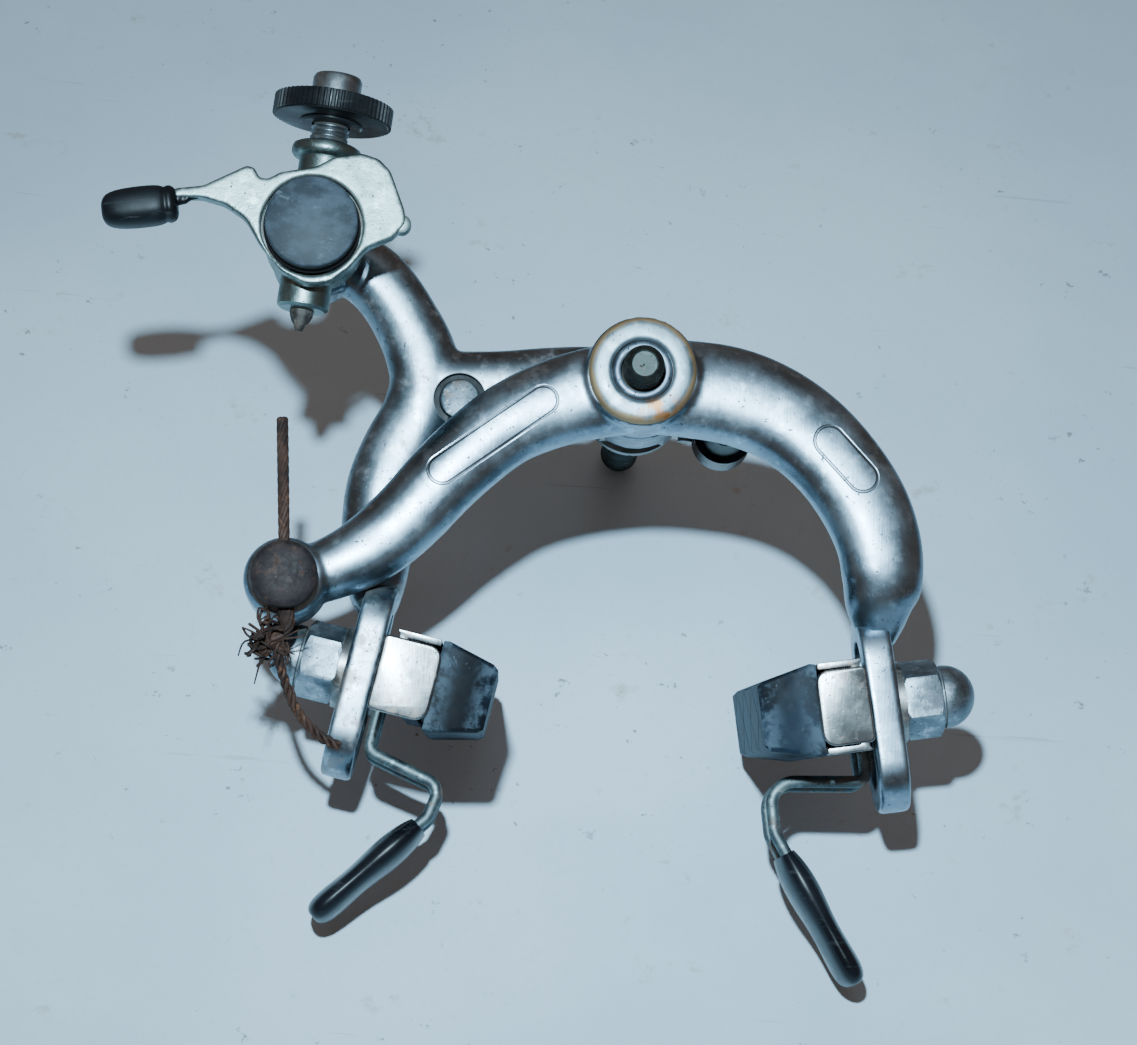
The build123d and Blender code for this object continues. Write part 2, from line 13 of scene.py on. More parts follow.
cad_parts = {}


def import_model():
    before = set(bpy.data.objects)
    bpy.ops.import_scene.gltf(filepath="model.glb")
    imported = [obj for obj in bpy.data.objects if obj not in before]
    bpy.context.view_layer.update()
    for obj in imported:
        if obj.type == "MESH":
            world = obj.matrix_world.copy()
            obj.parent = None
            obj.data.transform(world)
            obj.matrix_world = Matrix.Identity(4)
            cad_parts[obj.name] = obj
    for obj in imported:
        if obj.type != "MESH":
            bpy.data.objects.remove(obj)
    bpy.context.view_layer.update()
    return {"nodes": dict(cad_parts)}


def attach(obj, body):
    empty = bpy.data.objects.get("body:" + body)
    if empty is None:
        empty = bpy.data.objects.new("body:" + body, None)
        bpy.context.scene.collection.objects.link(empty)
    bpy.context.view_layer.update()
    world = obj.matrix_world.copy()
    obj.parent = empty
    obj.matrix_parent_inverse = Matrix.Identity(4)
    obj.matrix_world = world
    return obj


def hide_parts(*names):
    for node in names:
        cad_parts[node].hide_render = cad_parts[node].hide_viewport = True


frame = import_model()
random.seed(7)

# ---- places shared with the CAD, in mm ----
LOOP_TILT = math.radians(10.7)
LOOP_MID = (38.15, -18.0, -46.5)
LOOP_HALF, LOOP_R = 7.5, 5.1
POST_AT = (37.9, -18.0, -45.2)
NOSE_DOWN = math.radians(4.0)
ANCHOR = (-49.6, -33.4)
HANGER = (-49.0, 17.1)
HANGER_LEAN = math.radians(4.8)
TUBE_Y = -28.0
FRONT_Y, REAR_Y, ARM_DEPTH = -24.0, -13.0, 8.9
LEFT_POST, RIGHT_POST = (-26.3, -3.6), (13.6, -5.0)
DISC_AT = (HANGER[0], HANGER[1] - 0.25)

# ---- sizes of the visual pieces, in mm ----
PIVOT_BORE, ANCHOR_BORE, HANGER_BORE, POST_BORE, POST_POCKET = 4.4, 2.6, 4.1, 2.5, 3.8
CUT_FRONT, CUT_BACK = -40, -5         # a hole right through an arm
BAR_ACROSS, BAR_DEEP, BAR_SQUARE = 4.0, 4.6, 6.0
SLOT_R = 3.1
HOLDER_EDGE, HOLDER_BACK, HOLDER_HIGH = -10.95, -4.85, 6.5
HOLDER_NOSE, HOLDER_TAIL = -22.6, 22.0
PAD_FACE, PAD_HALF = -19.4, 21.3
GROOVE_WIDE, GROOVE_LONG, GROOVE_DEEP, GROOVE_LEAN = 0.4, 9.0, 0.15, 42
GROOVE_PAIRS, GROOVE_FIRST, GROOVE_STEP = 4, -15.6, 11.5
NUT_ACROSS, NUT_FROM, NUT_TO, NUT_BORE = 10.0, 3.4, 8.9, 3.05
DOME_R, DOME_FROM, DOME_HIGH = 4.62, 9.6, 4.5
LEVER_BACK, LEVER_FRONT = 33.3, 35.95
CABLE_LEAN = math.radians(4.8)
CABLE_Y = -30.0
KNOT = (-51.6, -29.6, -42.6)
SCALE = 0.001


# ---- mesh helpers ----
def mm(matrix=None):
    """Matrix from local millimetres to metres in the assembly."""
    return Matrix.Scale(SCALE, 4) @ (matrix or Matrix.Identity(4))


def at(x, y, z):
    return Matrix.Translation((x, y, z))


def turn(angle, axis):
    return Matrix.Rotation(angle, 4, axis)


QUARTER = math.pi / 2
MIRROR_X = Matrix.Scale(-1, 4, (1, 0, 0))
ON_RIGHT = at(*POST_AT) @ turn(-LOOP_TILT, "Y")
ON_LEFT = MIRROR_X @ ON_RIGHT
ON_TUBE = at(HANGER[0], 0, HANGER[1]) @ turn(HANGER_LEAN, "Y") @ at(0, TUBE_Y, 0)
ALONG_Y = turn(-QUARTER, "X")        # local +Z becomes +Y
ALONG_X = turn(QUARTER, "Y")         # local +Z becomes +X
FLAT_XZ = turn(QUARTER, "X")         # an outline in x, y becomes one in X, Z


def in_scene(name, data):
    """New object for a mesh, light or camera."""
    obj = bpy.data.objects.new(name, data)
    bpy.context.scene.collection.objects.link(obj)
    return obj


def add_mesh(name, verts, faces, matrix=None):
    """New object from local millimetre coordinates."""
    data = bpy.data.meshes.new(name)
    data.from_pydata([tuple(v) for v in verts], [], faces)
    data.transform(mm(matrix))
    obj = in_scene(name, data)
    tidy_normals(obj)
    return obj


def tidy_normals(obj):
    """Merge doubled points and turn every face outward."""
    bm = bmesh.new()
    bm.from_mesh(obj.data)
    bmesh.ops.remove_doubles(bm, verts=bm.verts, dist=1e-6)
    bmesh.ops.recalc_face_normals(bm, faces=bm.faces)
    bm.to_mesh(obj.data)
    bm.free()


def modify(obj, kind, **settings):
    """Replace the mesh by its result under one modifier."""
    mod = obj.modifiers.new(kind, kind)
    for key, value in settings.items():
        setattr(mod, key, value)
    graph = bpy.context.evaluated_depsgraph_get()
    data = bpy.data.meshes.new_from_object(obj.evaluated_get(graph))
    obj.modifiers.clear()
    obj.data = data


def smooth(obj, angle):
    """Smooth shading with real edges kept sharp."""
    bm = bmesh.new()
    bm.from_mesh(obj.data)
    limit = math.radians(angle)
    for face in bm.faces:
        face.smooth = True
    for edge in bm.edges:
        edge.smooth = len(edge.link_faces) == 2 and edge.calc_face_angle(0) < limit
    bm.to_mesh(obj.data)
    bm.free()


def join(name, objects):
    """One object from several."""
    bm = bmesh.new()
    for obj in objects:
        bm.from_mesh(obj.data)
    data = bpy.data.meshes.new(name)
    bm.to_mesh(data)
    bm.free()
    for obj in objects:
        bpy.data.objects.remove(obj)
    return in_scene(name, data)


def bevel(obj, width, segments, angle):
    """Round the edges sharper than angle (degrees) to width (mm)."""
    modify(obj, "BEVEL", width=width * SCALE, segments=segments, limit_method="ANGLE",
           angle_limit=math.radians(angle), use_clamp_overlap=True)
    return obj


def cut(obj, cutters, how="DIFFERENCE"):
    """Boolean with all the cutters at once, which are used up."""
    cutter = join("cutter", cutters) if len(cutters) > 1 else cutters[0]
    modify(obj, "BOOLEAN", operation=how, solver="EXACT", object=cutter)
    bpy.data.objects.remove(cutter)


def circle(count):
    """Evenly spaced angles of a full turn."""
    return [math.tau * i / count for i in range(count)]


def lathe(name, profile, matrix=None, count=64):
    """Solid turned about local Z from (radius, z) pairs; the ends close on the axis."""
    verts, faces, rings = [], [], []
    for radius, z in profile:
        if radius < 1e-6:
            rings.append([len(verts)])
            verts.append((0, 0, z))
        else:
            rings.append(list(range(len(verts), len(verts) + count)))
            verts += [(radius * math.cos(a), radius * math.sin(a), z) for a in circle(count)]
    for a, b in zip(rings, rings[1:]):
        for i in range(count):
            j = (i + 1) % count
            if len(a) == 1 and len(b) == 1:
                continue
            if len(a) == 1:
                faces.append((a[0], b[i], b[j]))
            elif len(b) == 1:
                faces.append((a[i], b[0], a[j]))
            else:
                faces.append((a[i], a[j], b[j], b[i]))
    if len(rings[0]) > 1 and len(rings[-1]) > 1 and profile[0] != profile[-1]:
        faces += [tuple(rings[0]), tuple(rings[-1])]
    return add_mesh(name, verts, faces, matrix)


def rounded(points, radius, steps=4):
    """Outline with its corners rounded; radius is one number or one per corner."""
    out = []
    count = len(points)
    for i, p in enumerate(points):
        r = radius[i] if isinstance(radius, (list, tuple)) else radius
        p = Vector(p)
        a, b = Vector(points[i - 1]) - p, Vector(points[(i + 1) % count]) - p
        if r <= 0 or a.length < 1e-6 or b.length < 1e-6:
            out.append(p)
            continue
        half = a.angle(b) / 2
        if half > math.pi / 2 - 0.02:
            out.append(p)
            continue
        reach = min(r / math.tan(half), a.length * 0.48, b.length * 0.48)
        start, end = p + a.normalized() * reach, p + b.normalized() * reach
        for k in range(steps + 1):
            t = k / steps
            out.append(start * (1 - t) ** 2 + p * 2 * t * (1 - t) + end * t ** 2)
    return out


def prism(name, outline, z0, z1, matrix=None):
    """Flat outline (x, y) extruded from z0 to z1 in local axes."""
    count = len(outline)
    verts = [(p[0], p[1], z) for z in (z0, z1) for p in outline]
    faces = [tuple(range(count)), tuple(range(count, 2 * count))]
    faces += [(i, (i + 1) % count, count + (i + 1) % count, count + i) for i in range(count)]
    return add_mesh(name, verts, faces, matrix)


def between(a, b, c, d, t):
    """Catmull-Rom value at t from b to c."""
    return 0.5 * (2 * b + (c - a) * t + (2 * a - 5 * b + 4 * c - d) * t * t
                  + (3 * b - a - 3 * c + d) * t ** 3)


def spline(points, steps):
    """Smooth line through rows of numbers."""
    out = []
    for i in range(len(points) - 1):
        p0, p1 = points[max(i - 1, 0)], points[i]
        p2, p3 = points[i + 1], points[min(i + 2, len(points) - 1)]
        for k in range(steps):
            out.append(tuple(between(*four, k / steps) for four in zip(p0, p1, p2, p3)))
    out.append(tuple(points[-1]))
    return out


def superellipse(width, depth, count, power=2.35):
    """Ring between an ellipse (power 2) and a rectangle (a high power)."""
    e = 2 / power
    ring = []
    for a in circle(count):
        c, s = math.cos(a), math.sin(a)
        ring.append((width / 2 * math.copysign(abs(c) ** e, c),
                     depth / 2 * math.copysign(abs(s) ** e, s)))
    return ring


def skin(name, rings, matrix=None, closed=False):
    """Surface through equal rings of points, with flat ends unless it is closed on itself."""
    count = len(rings[0])
    verts = [p for ring in rings for p in ring]
    faces = []
    last = len(rings) if closed else len(rings) - 1
    for r in range(last):
        a, b = r * count, ((r + 1) % len(rings)) * count
        for i in range(count):
            j = (i + 1) % count
            faces.append((a + i, a + j, b + j, b + i))
    if not closed:
        faces += [tuple(range(count)), tuple(range(len(verts) - count, len(verts)))]
    return add_mesh(name, verts, faces, matrix)


def limb(name, stations, count=40):
    """Forged limb through (x, z, width, y, depth) stations, closed with flat ends."""
    rows = spline(stations, 6)
    rings = []
    for i, (x, z, width, y, depth) in enumerate(rows):
        a, b = rows[max(i - 1, 0)], rows[min(i + 1, len(rows) - 1)]
        run = Vector((b[0] - a[0], 0, b[1] - a[1])).normalized()
        across = Vector((run.z, 0, -run.x))
        centre = Vector((x, y, z))
        rings.append([centre + across * u + Vector((0, w, 0))
                      for u, w in superellipse(width, depth, count)])
    return skin(name, rings)


def tube_along(name, points, radius, count, steps):
    """Round wire through points, with rounded ends; radius may taper along it."""
    line = [Vector(p) for p in spline(points, steps)]
    last = len(line) - 1
    rings = []
    side = None
    for i, p in enumerate(line):
        run = (line[min(i + 1, last)] - line[max(i - 1, 0)]).normalized()
        if side is None:
            side = run.orthogonal().normalized()
        side = (side - run * side.dot(run)).normalized()
        other = run.cross(side)
        r = radius[0] + (radius[1] - radius[0]) * i / last if isinstance(radius, list) else radius
        start = [(-0.9, 0.35), (-0.6, 0.75)] if i == 0 else []
        end = [(0.6, 0.75), (0.9, 0.35)] if i == last else []
        for shift, share in start + [(0.0, 1.0)] + end:
            middle = p + run * r * shift
            rings.append([middle + (side * math.cos(t) + other * math.sin(t)) * r * share
                          for t in circle(count)])
    return skin(name, rings)


# ---- material helpers ----
def rgba(value):
    """Three numbers as an opaque colour; a socket stays as it is."""
    return value if isinstance(value, bpy.types.NodeSocket) else (*value, 1.0)


class Look:
    """Builds one node material around a Principled shader."""

    def __init__(self, name):
        self.material = bpy.data.materials.new(name)
        self.material.use_nodes = True
        self.tree = self.material.node_tree
        self.tree.nodes.clear()
        out = self.tree.nodes.new("ShaderNodeOutputMaterial")
        self.bsdf = self.tree.nodes.new("ShaderNodeBsdfPrincipled")
        self.tree.links.new(self.bsdf.outputs[0], out.inputs[0])
        self.place = self.tree.nodes.new("ShaderNodeTexCoord").outputs["Object"]

    def put(self, socket, value):
        if isinstance(value, bpy.types.NodeSocket):
            self.tree.links.new(value, socket)
        else:
            socket.default_value = value

    def node(self, kind, inputs=(), **settings):
        made = self.tree.nodes.new("ShaderNode" + kind)
        for key, value in settings.items():
            setattr(made, key, value)
        for key, value in dict(inputs).items():
            self.put(made.inputs[key], value)
        return made

    def noise(self, scale, detail=4.0, rough=0.55, stretch=None, turn=(0, 0, 0)):
        """Noise with features about 1/scale metres across."""
        place = self.place
        if stretch:
            place = self.node("Mapping", {"Vector": place, "Scale": stretch,
                                          "Rotation": turn}).outputs[0]
        return self.node("TexNoise", {"Vector": place, "Scale": scale, "Detail": detail,
                                      "Roughness": rough}).outputs["Fac"]

    def level(self, value, low, high, to_low=0.0, to_high=1.0):
        """Part of a value's range, eased, as a mask or as new limits."""
        made = self.node("MapRange", {"Value": value, "From Min": low, "From Max": high,
                                      "To Min": to_low, "To Max": to_high},
                         interpolation_type="SMOOTHSTEP")
        return made.outputs["Result"]

    def math(self, how, a, b=0.0):
        """One step of arithmetic on sockets or numbers."""
        return self.node("Math", {0: a, 1: b}, operation=how).outputs[0]

    def times(self, a, b):
        return self.math("MULTIPLY", a, b)

    def plus(self, a, b):
        return self.math("ADD", a, b)

    def minus(self, a, b):
        return self.math("SUBTRACT", a, b)

    def mix(self, factor, a, b):
        """Colour a where factor is 0, b where it is 1."""
        made = self.node("Mix", data_type="RGBA")
        self.put(made.inputs["Factor"], factor)
        self.put(made.inputs["A"], rgba(a))
        self.put(made.inputs["B"], rgba(b))
        return made.outputs["Result"]

    def crevice(self, distance, low, high):
        """Mask for corners that something else comes close to."""
        ao = self.node("AmbientOcclusion", {"Distance": distance * SCALE}, samples=6)
        return self.level(self.minus(1.0, ao.outputs["AO"]), low, high)

    def bump(self, height, strength, distance):
        """Normal from a height; distance in mm."""
        made = self.node("Bump", {"Height": height, "Strength": strength,
                                  "Distance": distance * SCALE})
        return made.outputs["Normal"]

    def near(self, x, y, z, reach, fade):
        """Mask that is one near a place in the assembly (mm) and fades out."""
        gap = self.node("VectorMath", {0: self.place, 1: (x * SCALE, y * SCALE, z * SCALE)},
                        operation="DISTANCE")
        return self.level(gap.outputs["Value"], (reach + fade) * SCALE, reach * SCALE)

    def from_axis(self, x, z):
        """Distance in metres from the line along Y through x, z (mm)."""
        split = self.node("SeparateXYZ", {0: self.place})
        flat = self.node("CombineXYZ", {0: split.outputs[0], 1: 0.0,
                                        2: split.outputs[2]}).outputs[0]
        gap = self.node("VectorMath", {0: flat, 1: (x * SCALE, 0, z * SCALE)}, operation="DISTANCE")
        return gap.outputs["Value"]

    def stamped(self, x, z, length, height, turn, line=0.28):
        """Line of a blank stadium pressed in the front of an arm."""
        moved = self.node("Mapping",
                          {"Vector": self.place, "Location": (-x * SCALE, 0, -z * SCALE)},
                          vector_type="POINT").outputs[0]
        turned = self.node("VectorRotate", {"Vector": moved, "Angle": turn},
                           rotation_type="Y_AXIS").outputs[0]
        split = self.node("SeparateXYZ", {0: turned})
        along = self.math("MAXIMUM", self.minus(self.math("ABSOLUTE", split.outputs[0]),
                                               (length - height) / 2 * SCALE), 0.0)
        across = split.outputs[2]
        gap = self.math("SQRT", self.plus(self.times(along, along),
                                          self.times(across, across)))
        off = self.math("ABSOLUTE", self.minus(gap, height / 2 * SCALE))
        front = self.level(split.outputs[1], (FRONT_Y - 0.5) * SCALE, (FRONT_Y - 1.5) * SCALE)
        return self.times(self.level(off, line * SCALE, line * 0.35 * SCALE), front)

    def done(self, color, rough, metal, normal, specular=0.5):
        """Set the shader's inputs and give the finished material."""
        for key, value in {"Base Color": rgba(color), "Roughness": rough, "Metallic": metal,
                           "Normal": normal, "Specular IOR Level": specular}.items():
            self.put(self.bsdf.inputs[key], value)
        return self.material


# brown-black for dirt and painted shade in corners
CORNER_DIRT_AND_SHADE = (0.10, 0.085, 0.07)
RUST = (0.30, 0.13, 0.05)
RIM_RUST, RIM_SPOT_RUST = (0.40, 0.27, 0.13), (0.36, 0.15, 0.05)
RIM_SPOT = (3.0, -30.2, -6.4)     # middle of the ring's rusty patch, from its axis
RIM_WAVE = 1.6
# near black, for painted shade in a recess
POCKET_PAINTED_SHADE = (0.012, 0.012, 0.013)
STAMP_SHADE = (0.06, 0.06, 0.065)


def worn_metal(name, color, shade, rough, pits, grime_and_shade, rust=0.0, fine=1.0, stamps=(), rim=None,
               pocket=None, cast=0.0):
    """Old bare or plated metal: cloudy tone, specks, pits, scratches, and dirt with painted shade
    in the corners.

    rim is ((x, z), start, fade) for a rusty edge, pocket is (x, z, reach) for painted shade, near
    black, in a round recess, cast is how much sand-cast grain is added, and each of stamps is a
    blank stadium for stamped().
    """
    m = Look(name)
    cloud = m.noise(120 * fine, 5)
    blotch = m.noise(420 * fine, 3)
    speck = m.noise(1500 * fine, 2, 0.6)
    base = m.mix(m.level(cloud, 0.35, 0.68), shade, color)
    pale = m.times(m.level(blotch, 0.54, 0.68), 0.55)
    base = m.mix(pale, base, tuple(min(1.0, c * 1.6) for c in color))
    dull = m.times(m.level(m.noise(260 * fine, 6, 0.7), 0.52, 0.40), 0.42)
    base = m.mix(dull, base, tuple(c * 0.6 for c in shade))
    pit = m.times(m.level(speck, 0.64, 0.74), pits)
    base = m.mix(pit, base, tuple(c * 0.22 for c in shade))
    # dirt and painted shade where other parts come close, from an occlusion mask
    corner = m.times(m.crevice(3.0, 0.30, 0.85), grime_and_shade)
    corner = m.times(corner, m.level(blotch, 0.30, 0.62, 0.35, 1.0))
    base = m.mix(corner, base, CORNER_DIRT_AND_SHADE)
    metal = m.minus(1.0, m.times(corner, 0.75))
    roughness = m.plus(m.level(cloud, 0.30, 0.75, rough[0], rough[1]), m.times(pit, 0.25))
    roughness = m.plus(roughness, m.times(corner, 0.3))
    if rust:
        stain = m.times(m.level(m.noise(260, 6, 0.7), 0.53, 0.66), rust)
        base = m.mix(stain, base, RUST)
        metal = m.times(metal, m.minus(1.0, stain))
        roughness = m.plus(roughness, m.times(stain, 0.35))
    if rim:
        (x, z), start, fade = rim
        wavy = m.plus(m.from_axis(x, z), m.times(m.minus(m.noise(260, 4), 0.5), RIM_WAVE * SCALE))
        outer = m.times(m.level(wavy, start * SCALE, (start + fade) * SCALE), 0.85)
        base = m.mix(outer, base, RIM_RUST)
        spot = m.near(x + RIM_SPOT[0], RIM_SPOT[1], z + RIM_SPOT[2], 1.4, 3.2)
        low = m.times(spot, m.level(m.noise(520, 5, 0.7), 0.42, 0.6))
        base = m.mix(m.times(low, 0.9), base, RIM_SPOT_RUST)
        roughness = m.plus(roughness, m.times(outer, 0.2))
    height = m.minus(m.times(blotch, 0.35), m.times(pit, 0.22))
    scratch = m.noise(300, 3, 0.6, stretch=(9.0, 9.0, 0.35), turn=(0.3, 0.5, 0.2))
    height = m.plus(height, m.times(scratch, 0.18))
    if cast:
        height = m.plus(height, m.times(m.noise(1100, 3, 0.7), cast))
    if pocket:
        x, z, reach = pocket
        # painted shade: the round recess is made near black
        inside = m.times(m.level(m.from_axis(x, z), (reach + 0.25) * SCALE, reach * SCALE), 0.96)
        base = m.mix(inside, base, POCKET_PAINTED_SHADE)
        metal = m.times(metal, m.minus(1.0, inside))
        roughness = m.plus(roughness, m.times(inside, 0.3))
    for stamp in stamps:
        line = m.stamped(*stamp)
        base = m.mix(m.times(line, 0.75), base, STAMP_SHADE)
        height = m.minus(height, m.times(line, 3.0))
    return m.done(base, roughness, metal, m.bump(height, 0.35, 0.12))


def moulded_black(name, color, rough, dust):
    """Black plastic or rubber with dust, scuffs and a soft sheen."""
    m = Look(name)
    cloud = m.noise(150, 4)
    scuff = m.noise(260, 4, 0.65, stretch=(1.0, 1.0, 5.0), turn=(0.5, 0.2, 0.9))
    base = m.mix(m.level(cloud, 0.3, 0.7), color, tuple(c * 2.2 for c in color))
    mark = m.times(m.level(scuff, 0.58, 0.72), dust)
    base = m.mix(mark, base, (0.09, 0.10, 0.11))
    roughness = m.plus(m.level(cloud, 0.3, 0.7, rough[0], rough[1]), m.times(mark, 0.4))
    height = m.plus(m.times(m.noise(900, 3), 0.4), m.times(scuff, 0.4))
    return m.done(base, roughness, 0.0, m.bump(height, 0.3, 0.1), specular=0.2)


def rubber_block(name):
    """Brake pad rubber: grey-blue bloom, scuffed edges, and painted shade, near black, where the
    holder and other parts come close.
    """
    m = Look(name)
    cloud = m.noise(110, 5)
    blotch = m.noise(330, 4, 0.65)
    base = m.mix(m.level(cloud, 0.32, 0.66), (0.003, 0.004, 0.006), (0.008, 0.017, 0.030))
    edge = m.node("NewGeometry").outputs["Pointiness"]
    worn = m.times(m.level(edge, 0.54, 0.64), m.level(blotch, 0.40, 0.6, 0.0, 0.7))
    base = m.mix(worn, base, (0.07, 0.10, 0.13))
    scuff = m.level(m.noise(420, 4, 0.7, stretch=(2.2, 0.8, 1.2), turn=(0.4, 0.9, 0.2)), 0.62, 0.70)
    base = m.mix(m.times(scuff, 0.35), base, (0.10, 0.13, 0.16))
    # painted shade: near black where the holder and other parts come close
    dark = m.crevice(1.2, 0.25, 0.7)
    base = m.mix(dark, base, (0.012, 0.012, 0.012))
    rough = m.level(blotch, 0.3, 0.7, 0.52, 0.68)
    height = m.plus(m.times(m.noise(1400, 3), 0.4), m.times(scuff, -0.6))
    return m.done(base, rough, 0.0, m.bump(height, 0.35, 0.12), specular=0.14)


def rubbed_disc(name):
    """Dull anodised face, smeared and scratched, with painted shade, near black, on its side behind
    the face.
    """
    m = Look(name)
    smear = m.noise(230, 6, 0.66, stretch=(1.0, 1.0, 1.4), turn=(0, 0.9, 0))
    streak = m.noise(330, 6, 0.75, stretch=(0.8, 1.0, 1.7), turn=(0, -0.7, 0))
    base = m.mix(m.level(smear, 0.38, 0.62), (0.018, 0.025, 0.034), (0.048, 0.066, 0.086))
    base = m.mix(m.times(m.level(streak, 0.58, 0.68), 0.45), base, (0.13, 0.16, 0.19))
    speck = m.times(m.level(m.noise(1300, 3, 0.7), 0.66, 0.72), 0.7)
    base = m.mix(speck, base, (0.03, 0.035, 0.04))
    # painted shade: near black on the side and skirt behind the face, in the gap to the hanger
    depth = m.node("SeparateXYZ", {0: m.place}).outputs[1]
    base = m.mix(m.level(depth, -38.25 * SCALE, -38.0 * SCALE), base, (0.008, 0.008, 0.009))
    rough = m.level(smear, 0.3, 0.7, 0.5, 0.62)
    height = m.plus(m.times(streak, 0.5), m.times(m.noise(1500, 2), 0.2))
    return m.done(base, rough, 0.0, m.bump(height, 0.25, 0.1), specular=0.22)


def rusted(name, dark, light, orange):
    """Old steel rusted through to a rough brown skin."""
    m = Look(name)
    cloud = m.noise(230, 6, 0.65)
    grain = m.noise(1100, 4, 0.7)
    base = m.mix(m.level(cloud, 0.35, 0.65), dark, light)
    spot = m.times(m.level(m.noise(520, 5, 0.7), 0.56, 0.66), orange)
    base = m.mix(spot, base, (0.24, 0.105, 0.05))
    pale = m.times(m.level(grain, 0.64, 0.74), 0.45)
    base = m.mix(pale, base, (0.13, 0.11, 0.105))
    height = m.plus(m.times(cloud, 0.8), m.times(grain, 0.7))
    return m.done(base, m.level(grain, 0.3, 0.7, 0.55, 0.8), 0.1, m.bump(height, 0.55, 0.16),
                  specular=0.2)


ARM_STAMPS = [(-21.1, -10.6, 22.0, 4.2, math.radians(38.4)),
              (30.3, -10.8, 11.5, 4.4, math.radians(-44.7))]
MATERIALS = {
    "arm": worn_metal("arm_alloy", (0.27, 0.36, 0.43), (0.18, 0.24, 0.29), (0.27, 0.42), 0.8, 1.0,
                      stamps=ARM_STAMPS),
    "rear_arm": worn_metal("rear_arm_alloy", (0.24, 0.31, 0.36), (0.15, 0.195, 0.23), (0.30, 0.45),
                           0.9, 1.0, rust=0.25, pocket=(*LEFT_POST, 3.75)),
    "satin": worn_metal("satin_alloy", (0.24, 0.32, 0.31), (0.14, 0.19, 0.19), (0.36, 0.5), 0.9,
                        1.0, cast=1.2),
    "barrel": worn_metal("barrel_alloy", (0.28, 0.33, 0.36), (0.15, 0.18, 0.20), (0.34, 0.5), 0.9,
                         1.0, cast=0.5),
    "steel": worn_metal("bolt_steel", (0.30, 0.32, 0.32), (0.17, 0.18, 0.18), (0.34, 0.5), 0.8, 1.0,
                        rust=0.3),
    "stud": worn_metal("stud_steel", (0.060, 0.072, 0.070), (0.024, 0.030, 0.029), (0.45, 0.60),
                       0.9, 1.0, rust=0.12),
    "chrome": worn_metal("chrome_plate", (0.10, 0.125, 0.14), (0.025, 0.032, 0.038), (0.36, 0.52),
                         1.0, 1.0, rust=0.15, fine=1.8),
    "holder": worn_metal("holder_plate", (0.30, 0.33, 0.34), (0.17, 0.19, 0.20), (0.22, 0.34), 0.7,
                         1.0, rust=0.35),
    "nut": worn_metal("nut_plate", (0.30, 0.37, 0.42), (0.14, 0.18, 0.21), (0.40, 0.56), 1.0, 1.0,
                      rust=0.08, fine=1.3, cast=1.0),
    "ring": worn_metal("ring_chrome", (0.30, 0.39, 0.44), (0.19, 0.26, 0.30), (0.42, 0.56), 0.8,
                       1.0, rim=((0, 0), 6.9, 0.5)),
    "bush": worn_metal("bush_steel", (0.13, 0.17, 0.21), (0.06, 0.08, 0.11), (0.38, 0.5), 0.9, 1.0),
    "brass": worn_metal("dull_brass", (0.50, 0.42, 0.27), (0.34, 0.28, 0.17), (0.35, 0.5), 0.4,
                        0.9),
    "wire": worn_metal("zinc_wire", (0.19, 0.25, 0.26), (0.09, 0.12, 0.13), (0.52, 0.68), 1.0, 1.0,
                       rust=0.3, fine=1.5),
    "grime_and_shade": worn_metal("liner_grime", (0.16, 0.155, 0.145), (0.07, 0.065, 0.06), (0.6, 0.8), 0.9,
                        1.0, rust=0.2, fine=2.0, cast=2.0),
    "rusty": rusted("rusted_wire", (0.016, 0.010, 0.009), (0.060, 0.030, 0.021), 0.4),
    "anchor": rusted("rusted_head", (0.014, 0.011, 0.012), (0.036, 0.027, 0.027), 0.12),
    "pad": rubber_block("pad_rubber"),
    "disc": rubbed_disc("disc_face"),
    "wheel": moulded_black("wheel_black", (0.006, 0.007, 0.008), (0.24, 0.40), 0.2),
    "grip": moulded_black("grip_black", (0.003, 0.004, 0.005), (0.34, 0.5), 0.25),
    "black": moulded_black("sleeve_black", (0.003, 0.0035, 0.005), (0.22, 0.36), 0.2),
}
NODE_LOOKS = {
    "arm": ["front_arm", "rear_arm"],
    "ring": ["front_ring"],
    "bush": ["pivot_bush", "mid_washer"],
    "brass": ["rear_washer"],
    "steel": ["pivot_bolt", "spring_block", "serrated_washer", "return_spring", "left_spring_post",
              "anchor_washer", "anchor_nut", "hanger_clip", "adjuster_liner"],
    "stud": ["right_spring_post"],
    "black": ["left_post_sleeve", "right_post_sleeve", "lever_grip", "thumbwheel"],
    "rusty": ["anchor_bolt", "cable_stub", "cable_strands"],
    "satin": ["hanger_body", "release_lever", "stop_tube", "adjuster_barrel"],
    "disc": ["hanger_disc"],
    "chrome": ["lever_stop"],
    "wire": []}
SHOE_LOOKS = {
    "chrome": ["pad_holder", "acorn_nut"],
    "steel": ["pad_post", "shoe_washer", "nut_washer"],
    "black": ["brake_pad", "guide_sleeve"],
    "wire": ["wheel_guide"]}
for look, node_names in NODE_LOOKS.items():
    pairs = [side + piece for side in ("left_", "right_") for piece in SHOE_LOOKS.get(look, [])]
    for node_name in node_names + pairs:
        for material_slot in frame["nodes"][node_name].material_slots:
            material_slot.material = MATERIALS[look]


# ---- shapes ----
def lathe_y(name, profile, x=0.0, z=0.0, count=64):
    """Solid turned about a line along Y from (radius, y) pairs."""
    return lathe(name, profile, at(x, 0, z) @ ALONG_Y, count)


def drill(radius, x=0.0, z=0.0, front=CUT_FRONT, back=CUT_BACK):
    """Cutter for a round hole along Y."""
    return lathe_y("drill", [(0, front), (radius, front), (radius, back), (0, back)], x, z)


